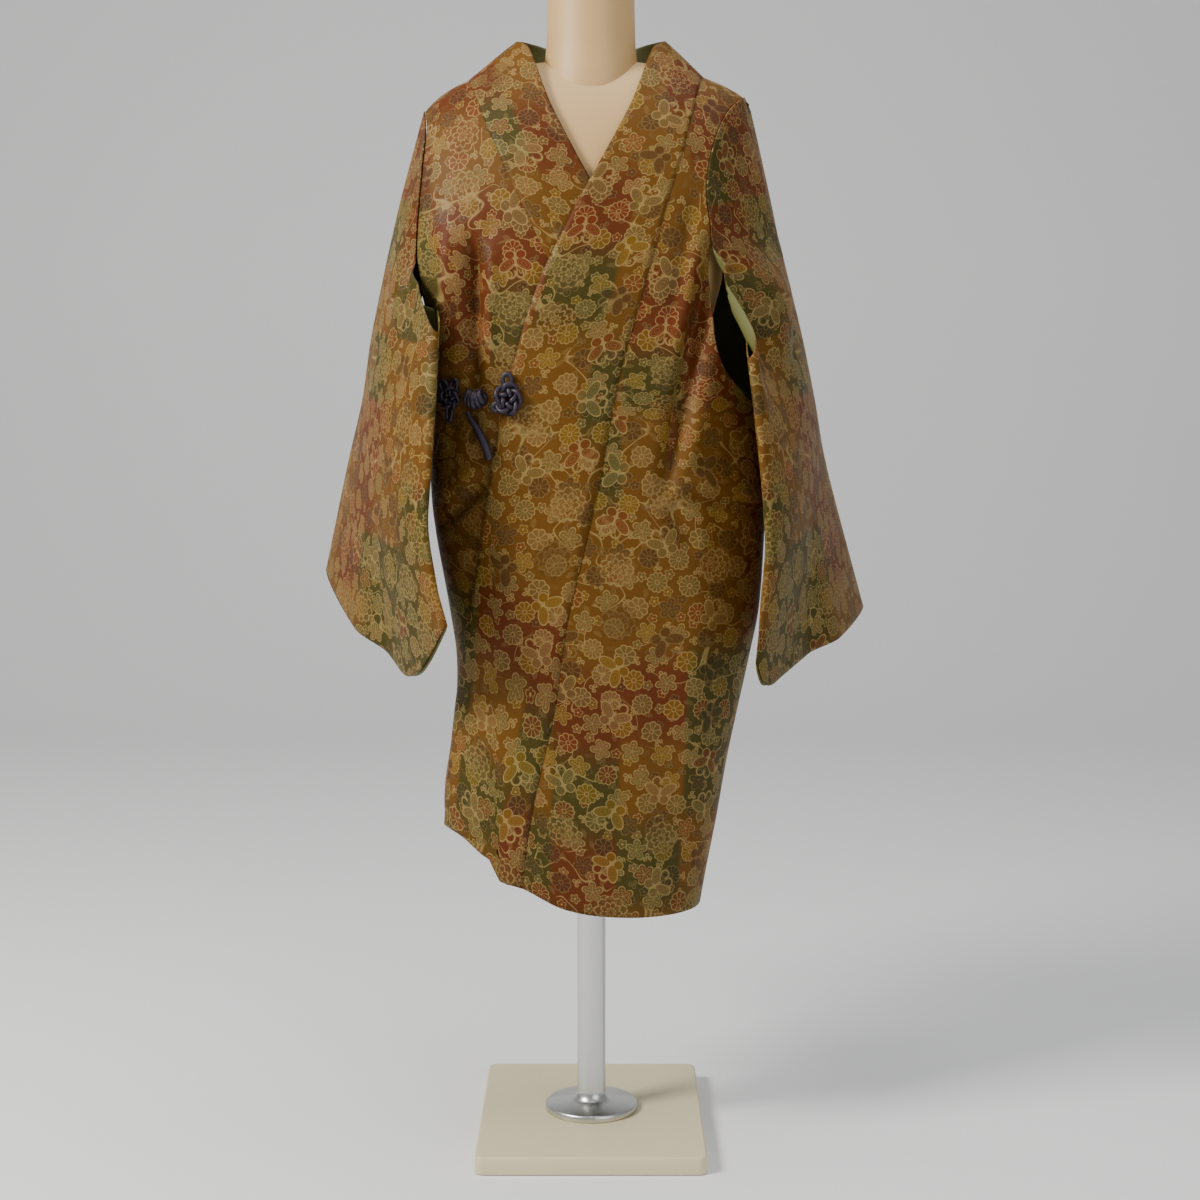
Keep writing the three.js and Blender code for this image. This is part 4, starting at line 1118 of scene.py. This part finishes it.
def sleeve_half(side, face, along, across):
    """One layer of the bag, on a grid of shares along the sleeve and across it."""
    along, across = np.broadcast_arrays(along[:, None], across[None, :])
    fold, seam = sleeve_ends(side, along)
    out = bag_normal(side, along)
    place = mix(fold, seam, across[..., None])
    place[..., 2] -= between(CUFF_SAG[side], across, "across", "drop") * smooth(SAG_FROM, 1, along)
    closed = smooth(CLOSED_FROM, 1, along) * smooth(*CLOSED_EDGE, across)
    full = mix(FULLNESS[face], CLOSED_FULL, closed)
    place = place + out * bag_bulge(face, across, full)[..., None]
    sewn = across < SEWN
    edge = armhole_edge(side, face, np.where(sewn, across / SEWN, 1.0))
    at = np.where(sewn, across, SEWN)
    top_fold, top_seam = sleeve_ends(side, np.zeros_like(at))
    free = mix(top_fold, top_seam, at[..., None]) + out * bag_bulge(face, at, FULLNESS[face])[..., None]
    fade = np.where(sewn, 1.0, 1 - smooth(SEWN, 1, across))
    place = place + (edge - free) * ((1 - smooth(0, EASE_REACH, along)) * fade)[..., None]
    share = np.maximum(smooth(0, CLEAR_REACH, along), smooth(SEWN, SEWN_END, across))
    return clear_of_body(side, face, place, share)


def sleeve_grid(side):
    along = np.linspace(0, 1, SLEEVE_ALONG + 1)
    across = np.linspace(0, 1, SLEEVE_ACROSS + 1)
    front = sleeve_half(side, FRONT, along, across)
    back = sleeve_half(side, BACK, along, across[1:-1])[:, ::-1]
    return np.concatenate([front, back], axis=1)


def sleeve_flat(grid):
    """Places on the cut: each layer seen squarely, the back one turned over at the seam."""
    ring = np.concatenate([grid, grid[:, :1]], axis=1)
    start = grid[0].mean(0)
    down = unit(grid[-1].mean(0) - start)
    away = grid[:, SLEEVE_ACROSS].mean(0) - grid[:, 0].mean(0)
    across = unit(away - down * (away @ down))
    along = (ring - start) @ down
    drop = (ring - start) @ across
    seam = drop[:, SLEEVE_ACROSS:SLEEVE_ACROSS + 1]
    behind = np.arange(ring.shape[1]) > SLEEVE_ACROSS
    drop = np.where(behind, 2 * seam - drop, drop)
    return np.stack([along, drop], -1) * MM


for side, name in ((LEFT, "left"), (RIGHT, "right")):
    grid = grown(sleeve_grid(side), side * CLOTH, ring=True)
    bag = sheet_object("coat_sleeve_" + name, grid, sleeve_flat(grid), turned=side == RIGHT, ring=True)
    coat_pieces.append(give_thickness(bag, silk, lining))
    print(bag.name, len(bag.data.polygons), "faces")

# %% [markdown]
# ## The fastening
# Two flower knots, a button knot between them and a short hanging loop are tied in round silk cord.
# Cord could be modelled as a mesh, but a curve with a round section follows any route of points.
# Knots are turned into meshes, because each is several cords that belong together.

# %% Places on the fronts
CORD_RADIUS = 3.1
LOOP_RADIUS = 3.5
CORD_ROUNDNESS = 4
Spot = namedtuple("Spot", "x z off")
LOOP_ROUTE = [
    Spot(-124, 808.6, 7), Spot(-121, 800, 7), Spot(-115, 790, 6), Spot(-109, 777, 6),
    Spot(-104.5, 765, 6), Spot(-102, 757, 6),
]


def front_place(layer, x, z, off):
    angle = angle_at(np.array([float(z)]), np.array([float(x)]))
    height = np.array([float(z)])
    place = cloth_place(upright_place, FRONT, layer, angle, height, UPRIGHT_STEP, BAND_RISE)[0]
    out = outward(upright_place, FRONT, angle, height, UPRIGHT_STEP)[0]
    return place + out * off, out


def lay_on(layer, x, z, off):
    """A matrix that lays a flat form on the front, with its Z axis pointing away from the cloth."""
    place, out = front_place(layer, x, z, off)
    up = np.array([0.0, 0.0, 1.0])
    across = unit(np.cross(up, out))
    turn = Matrix([across, np.cross(out, across), out]).transposed()
    return Matrix.LocRotScale(Vector(place), turn, None)


def tube(name, places, radius, closed=False, swell=None):
    """A curve object through places in millimetres, with a round section."""
    data = bpy.data.curves.new(name, "CURVE")
    data.dimensions = "3D"
    data.bevel_depth = radius * MM
    data.bevel_resolution = CORD_ROUNDNESS
    data.use_fill_caps = True
    spline = data.splines.new("POLY")
    spline.points.add(len(places) - 1)
    for k, place in enumerate(places):
        spline.points[k].co = (*(np.asarray(place) * MM), 1.0)
        spline.points[k].radius = 1.0 if swell is None else swell[k]
    spline.use_cyclic_u = closed
    data.materials.append(cord_material)
    made = bpy.data.objects.new(name, data)
    bpy.context.scene.collection.objects.link(made)
    return made


def joined_mesh(name, parts):
    """One mesh object from several curve objects."""
    bm = bmesh.new()
    depsgraph = bpy.context.evaluated_depsgraph_get()
    for part in parts:
        mesh = bpy.data.meshes.new_from_object(part.evaluated_get(depsgraph))
        bm.from_mesh(mesh)
        bpy.data.meshes.remove(mesh)
    mesh = bpy.data.meshes.new(name)
    bm.to_mesh(mesh)
    bm.free()
    mesh.materials.append(cord_material)
    mesh.shade_smooth()
    made = bpy.data.objects.new(name, mesh)
    bpy.context.scene.collection.objects.link(made)
    for part in parts:
        bpy.data.objects.remove(part)
    return made


def ring_of_points(rx, ry, count):
    turns = np.linspace(0, math.tau, count, endpoint=False)
    return np.stack([rx * np.cos(turns), ry * np.sin(turns), np.zeros(count)], -1)


def turned(points, matrix):
    return np.array([matrix @ Vector(point) for point in points])


# %% [markdown]
# Each flower knot is tied flat from one cord. Its exact route can't be read from the picture, so it
# is made as a woven ring: one closed cord goes round three times and passes over and under itself,
# with loops that stick out at its edge. A row gives the ring's middle radius, how far the cord swings
# in and out, its width and height as shares, and the cord's radius.

# %% Woven flower knots
LEADS, BIGHTS = 3, 5
RING_POINTS, PETAL_POINTS = 210, 30
PETAL_SINK = -0.6
Woven = namedtuple("Woven", "name node x z off layer middle swing wide tall cord loops")
Petal = namedtuple("Petal", "turn out long wide")
WOVEN = [
    Woven("knot_flower_right", "knot_right", -145, 822, 5.8, RIGHT, 7.2, 4.0, 1.0, 1.0, 2.2, [
        Petal(124, 14.5, 7.0, 4.6), Petal(66, 14.0, 6.5, 4.4), Petal(182, 11.5, 5.0, 4.0),
        Petal(262, 16.0, 8.5, 3.6),
    ]),
    Woven("knot_flower_left", "knot_left", -84, 821, 6.0, LEFT, 9.3, 5.1, 0.94, 1.12, 2.5, [
        Petal(92, 19.5, 6.5, 4.8), Petal(214, 15.0, 4.5, 4.0),
    ]),
]


def woven_ring(knot):
    turn = np.linspace(0, LEADS * math.tau, RING_POINTS, endpoint=False)
    reach = knot.middle + knot.swing * np.cos(BIGHTS * turn / LEADS)
    lift = knot.cord * np.sin(2 * BIGHTS * turn / LEADS)
    return np.stack([reach * np.cos(turn) * knot.wide, reach * np.sin(turn) * knot.tall, lift], -1)


fastening = []
for knot in WOVEN:
    lay = lay_on(knot.layer, knot.x, knot.z, knot.off)
    parts = [tube("weave", turned(woven_ring(knot), lay), knot.cord, closed=True)]
    for petal in knot.loops:
        place = lay @ Matrix.Rotation(math.radians(petal.turn), 4, "Z")
        place = place @ Matrix.Translation((petal.out, 0, PETAL_SINK))
        ring = ring_of_points(petal.long, petal.wide, PETAL_POINTS)
        parts.append(tube("petal", turned(ring, place), knot.cord, closed=True))
    fastening.append((joined_mesh(knot.name, parts), knot.node))
print("knots", [len(piece.data.polygons) for piece, node in fastening])

# %% [markdown]
# The button knot is a tight ball of cord that slips through a loop. A true ball knot would be hidden
# detail at this size, so five wraps stand side by side round a short bar, smaller towards the ends.

# %% Button knot
Button = namedtuple("Button", "x z off turn spread lean bar")
BUTTON = Button(-117, 820, 9, 7.6, 4.2, 0.2, 22)
WRAPS = (-2, -1, 0, 1, 2)
WRAP_SHRINK = 0.8
WRAP_POINTS, BAR_POINTS = 24, 8

lay = lay_on(RIGHT, BUTTON.x, BUTTON.z, BUTTON.off)
parts = []
for k in WRAPS:
    radius = BUTTON.turn - WRAP_SHRINK * abs(k)
    ring = ring_of_points(radius, radius, WRAP_POINTS)
    place = lay @ Matrix.Rotation(k * BUTTON.lean, 4, "Z") @ Matrix.Translation((k * BUTTON.spread, 0, 0))
    place = place @ Matrix.Rotation(math.pi / 2, 4, "Y")
    parts.append(tube("turn", turned(ring, place), CORD_RADIUS, closed=True))
bar = np.array([[x, 0.0, 0.0] for x in np.linspace(-BUTTON.bar / 2, BUTTON.bar / 2, BAR_POINTS)])
parts.append(tube("bar", turned(bar, lay), CORD_RADIUS))
fastening.append((joined_mesh("knot_button_cord", parts), "knot_button"))
print("button knot", len(fastening[-1][0].data.polygons), "faces")

# %% [markdown]
# The hanging loop comes out from under the button knot and hangs down the front. Its few stated
# places could be joined by straight lines, but a smooth curve fitted through them hangs like cord. It
# grows thicker towards its rounded lower end.

# %% Hanging loop
LOOP_STEPS = 36
CURVE_DEGREE = 4
THIN_END, THICK_END, THICK_FROM = 0.72, 1.3, 0.7
ROUND_END, ROUND_TIP = 0.09, 0.03
route = np.array([front_place(RIGHT, s.x, s.z, s.off + LAYER_STEP)[0] for s in LOOP_ROUTE])
along = np.linspace(0, 1, LOOP_STEPS)
rows = np.linspace(0, 1, len(route))
curves = [np.polyfit(rows, route[:, k], CURVE_DEGREE) for k in range(3)]
loop_places = np.stack([np.polyval(curve, along) for curve in curves], -1)
swell = mix(THIN_END, THICK_END, smooth(0.0, THICK_FROM, along))
swell = swell * np.sqrt(np.clip((1.0 - along) / ROUND_END, ROUND_TIP, 1.0))
loop_cord = tube("tie_loop_cord", loop_places, LOOP_RADIUS, swell=swell)

# %% [markdown]
# ## The dress form
# The form is a smooth cream shell without limbs. It could be shaped from a ball by sculpting, but the
# coat rests on it, so it is worked out from the coat's own surface: a row of slices from side to
# side, each a little inside the cloth, and a neck turned round an upright axis that stands in it.

# %% Torso with neck
FORM_END = 146.0
FORM_BOTTOM = 824.0
FORM_CLEAR = CLOTH + 0.35
FORM_HANG = 15.0
NECK_RADIUS = 47.0
NECK_Y = 6.0
TORSO_SLICES = 56
SLICE_STEPS = 26
HANG_SHAPE = 0.8
LOW_STEPS, LOW_END, LOW_NARROW = 8, 0.08, 0.16
SLICE_MIDDLE = 990.0
END_SHRINK, END_SHARE = 0.8, 0.12
NECK_POINTS = 96


def torso_slice(x, shrink):
    angle = float(angle_at(ARCH_FOOT, np.array([x]))[0])
    rise = np.linspace(0, 1, SLICE_STEPS + 1)
    halves = []
    for face in (FRONT, BACK):
        turn = np.full(rise.shape, angle)
        out = outward(arch_place, face, turn, rise, ARCH_STEP)
        inset = FORM_CLEAR + FORM_HANG * np.maximum(0, 1 - np.sin(rise * math.pi / 2)) ** HANG_SHAPE
        column = arch_place(face, turn, rise) - out * inset[:, None]
        low = []
        for share in np.linspace(1, LOW_END, LOW_STEPS):
            narrow = 1 - LOW_NARROW * share
            height = mix(ARCH_FOOT, FORM_BOTTOM, share)
            low.append([column[0, 0] * narrow, column[0, 1] * narrow, height])
        halves.append(np.concatenate([np.array(low), column]))
    ring = np.concatenate([halves[0], halves[1][:-1][::-1]])
    middle = np.array([x, 0.0, SLICE_MIDDLE])
    shrunk = mix(middle, ring, shrink)
    shrunk[:, 0] = ring[:, 0]
    return shrunk


def closed_mesh(name, rings, material):
    """A closed mesh through rings of points, with fans over both ends."""
    bm = bmesh.new()
    made = [[bm.verts.new(point * MM) for point in ring] for ring in rings]
    for a, b in zip(made, made[1:]):
        for i in range(len(a)):
            k = (i + 1) % len(a)
            bm.faces.new([a[i], a[k], b[k], b[i]]).smooth = True
    for ring, points in ((made[0], rings[0]), (made[-1], rings[-1])):
        centre = bm.verts.new(points.mean(axis=0) * MM)
        for i in range(len(ring)):
            bm.faces.new([ring[i], ring[(i + 1) % len(ring)], centre])
    bmesh.ops.recalc_face_normals(bm, faces=bm.faces)
    mesh = bpy.data.meshes.new(name)
    bm.to_mesh(mesh)
    bm.free()
    mesh.materials.append(material)
    piece = bpy.data.objects.new(name, mesh)
    bpy.context.scene.collection.objects.link(piece)
    return piece


def lathe_rings(profile, count, centre_y=0.0):
    turns = np.linspace(0, math.tau, count, endpoint=False)
    return [
        np.stack([r * np.cos(turns), r * np.sin(turns) + centre_y, np.full(count, float(z))], -1)
        for r, z in profile
    ]


slices = []
for k in range(TORSO_SLICES + 1):
    x = -FORM_END * math.cos(k / TORSO_SLICES * math.pi)
    to_end = 1 - abs(x) / FORM_END
    slices.append(torso_slice(x, mix(END_SHRINK, 1.0, float(smooth(0, END_SHARE, to_end)))))
torso = closed_mesh("form_cover", slices, cover)
neck_profile = [
    (54, 1112), (54, 1146), (53.2, 1160), (51, 1176), (49, 1190), (NECK_RADIUS + 1, 1200),
    (NECK_RADIUS, 1240), (NECK_RADIUS - 1, NECK_TOP - 4), (NECK_RADIUS - 1.7, NECK_TOP - 1.5),
    (NECK_RADIUS - 4, NECK_TOP),
]
neck = closed_mesh("form_neck", lathe_rings(neck_profile, NECK_POINTS, NECK_Y), cover)
print("torso", len(torso.data.polygons), "faces, neck", len(neck.data.polygons), "faces")

# %% [markdown]
# A plated steel pole with a flange stands on a painted steel plate. A cylinder and a cube would do,
# but metal catches light along its rounded edges. So both are rings of points: the plate's rings
# draw in by small steps at its edges, and the pole's profile is turned round its axis.

# %% Pole and base plate
PLATE_WIDTH, PLATE_DEPTH, PLATE_THICK, PLATE_CORNER = 248.0, 300.0, 20.0, 10.0
POLE_RADIUS, FLANGE_RADIUS, FLANGE_THICK = 16.0, 52.0, 8.0
POLE_POINTS = 64


def rounded_outline(width, depth, corner, steps=8):
    places = []
    for k, (sx, sy) in enumerate(((1, -1), (1, 1), (-1, 1), (-1, -1))):
        for turn in np.linspace(0, math.pi / 2, steps + 1) + (k - 1) * math.pi / 2:
            x = sx * (width / 2 - corner) + corner * math.cos(turn)
            places.append([x, sy * (depth / 2 - corner) + corner * math.sin(turn)])
    return np.array(places)


def plate_ring(inset, height):
    width, depth = PLATE_WIDTH - 2 * inset, PLATE_DEPTH - 2 * inset
    outline = rounded_outline(width, depth, PLATE_CORNER - inset)
    return np.column_stack([outline, np.full(len(outline), height)])


plate_rings = [
    plate_ring(1.6, 0.0), plate_ring(0.5, 0.4), plate_ring(0.0, 1.6),
    plate_ring(0.0, PLATE_THICK - 2.4), plate_ring(0.7, PLATE_THICK - 0.7), plate_ring(2.4, PLATE_THICK),
]
plate = closed_mesh("base_plate_painted", plate_rings, plate_paint)

low, high = PLATE_THICK + SEAM_GAP, FORM_BOTTOM - SEAM_GAP
pole_profile = [
    (FLANGE_RADIUS - 0.4, low), (FLANGE_RADIUS, low + 0.6), (FLANGE_RADIUS, low + FLANGE_THICK - 2),
    (FLANGE_RADIUS - 2, low + FLANGE_THICK), (POLE_RADIUS + 8, low + FLANGE_THICK + 2),
    (POLE_RADIUS + 2, low + FLANGE_THICK + 5), (POLE_RADIUS, low + FLANGE_THICK + 14),
    (POLE_RADIUS, high - 10), (POLE_RADIUS + 16, high - 8), (POLE_RADIUS + 16, high),
]
pole = closed_mesh("pole_plated", lathe_rings(pole_profile, POLE_POINTS), pole_metal)
print("plate", len(plate.data.polygons), "faces, pole", len(pole.data.polygons), "faces")

# %% [markdown]
# Nothing moves here, so all ride on the one body. For each cloth panel, the area of its cloth is printed
# with the width and length of its cut.

# %% Bind the pieces
for piece, nodes, slot in (
    (torso, ("form_torso",), "form_cover"),
    (neck, (), "form_cover"),
    (plate, ("base_plate",), "plate_paint"),
    (pole, ("pole",), "pole_metal"),
):
    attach(piece, "root")
    if nodes:
        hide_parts(*nodes)
for piece, node in fastening:
    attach(piece, "root")
    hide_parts(node)
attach(loop_cord, "root")
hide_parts("tie_loop")

CUT = {
    "coat_body_left": ("body_left", (0.26, 1.90), 0.35),
    "coat_body_right": ("body_right", (0.31, 1.81), 0.35),
    "coat_collar": ("collar", (0.14, 2.14), 0.19),
    "coat_sleeve_left": ("sleeve_left", (0.60, 0.80), 0.28),
    "coat_sleeve_right": ("sleeve_right", (0.56, 0.80), 0.26),
}
for piece in coat_pieces:
    node, size, area = CUT[piece.name]  # the solid, the cut's width and length, and its area
    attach(piece, "root")
    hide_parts(node)
    depsgraph = bpy.context.evaluated_depsgraph_get()
    shell = bpy.data.meshes.new_from_object(piece.evaluated_get(depsgraph))
    outer = sum(p.area for p in shell.polygons) / 2
    bpy.data.meshes.remove(shell)
    print(piece.name, "cloth", round(outer, 4), "m2, cut", size)

# %% [markdown]
# ## Studio
# A pale floor turns up into a backdrop behind the part. A flat floor and a wall would show a line
# where they meet, so the two are joined by a quarter of a circle. Three soft lamps light the part:
# the key from the picture's left, a large weak one from the right, and one from above.

# %% Floor and backdrop
FLOOR_FRONT, FLOOR_BACK, FLOOR_HALF, COVE_RADIUS, WALL_TOP = -4.0, 3.8, 4.6, 1.2, 5.0
FLOOR_LEVEL = -0.0005
COVE_STEPS = 14
PAPER, PAPER_ROUGHNESS = (0.86, 0.86, 0.86), 0.9


def backdrop():
    profile = [(FLOOR_FRONT, FLOOR_LEVEL), (FLOOR_BACK - COVE_RADIUS, FLOOR_LEVEL)]
    for turn in np.linspace(0, math.pi / 2, COVE_STEPS)[1:]:
        y = FLOOR_BACK - COVE_RADIUS + COVE_RADIUS * math.sin(turn)
        profile.append((y, COVE_RADIUS * (1 - math.cos(turn)) + FLOOR_LEVEL))
    profile.append((FLOOR_BACK, WALL_TOP))
    bm = bmesh.new()
    rows = [[bm.verts.new((x, y, z)) for x in (-FLOOR_HALF, FLOOR_HALF)] for y, z in profile]
    for a, b in zip(rows, rows[1:]):
        bm.faces.new([a[0], a[1], b[1], b[0]])
    mesh = bpy.data.meshes.new("backdrop")
    bm.to_mesh(mesh)
    bm.free()
    mesh.shade_smooth()
    mesh.materials.append(plain_material("backdrop paper", PAPER, PAPER_ROUGHNESS))
    made = bpy.data.objects.new("backdrop", mesh)
    bpy.context.scene.collection.objects.link(made)
    return made


backdrop()

# %% Lamps
Lamp = namedtuple("Lamp", "name place aim size power colour")
LAMPS = [
    Lamp("key", (-2.1, -1.2, 2.3), (0, 0, 0.85), 0.9, 112, (1.0, 0.97, 0.93)),
    Lamp("fill", (1.6, -2.4, 1.5), (0, 0, 0.75), 1.8, 22, (0.95, 0.97, 1.0)),
    Lamp("top", (0.2, -0.2, 2.9), (0, 0, 1.0), 1.6, 30, (1.0, 1.0, 1.0)),
]
WORLD_COLOUR, WORLD_STRENGTH = (0.88, 0.90, 0.92, 1.0), 0.36

for lamp in LAMPS:
    data = bpy.data.lights.new(lamp.name, "AREA")
    data.size = lamp.size
    data.energy = lamp.power
    data.color = lamp.colour
    light = bpy.data.objects.new(lamp.name, data)
    light.location = lamp.place
    gaze = Vector(lamp.aim) - Vector(lamp.place)
    light.rotation_euler = gaze.to_track_quat("-Z", "Y").to_euler()
    bpy.context.scene.collection.objects.link(light)

world = bpy.data.worlds.new("studio")
world.use_nodes = True
background = world.node_tree.nodes["Background"]
background.inputs["Color"].default_value = WORLD_COLOUR
background.inputs["Strength"].default_value = WORLD_STRENGTH
bpy.context.scene.world = world
print("lamps", [lamp.name for lamp in LAMPS])
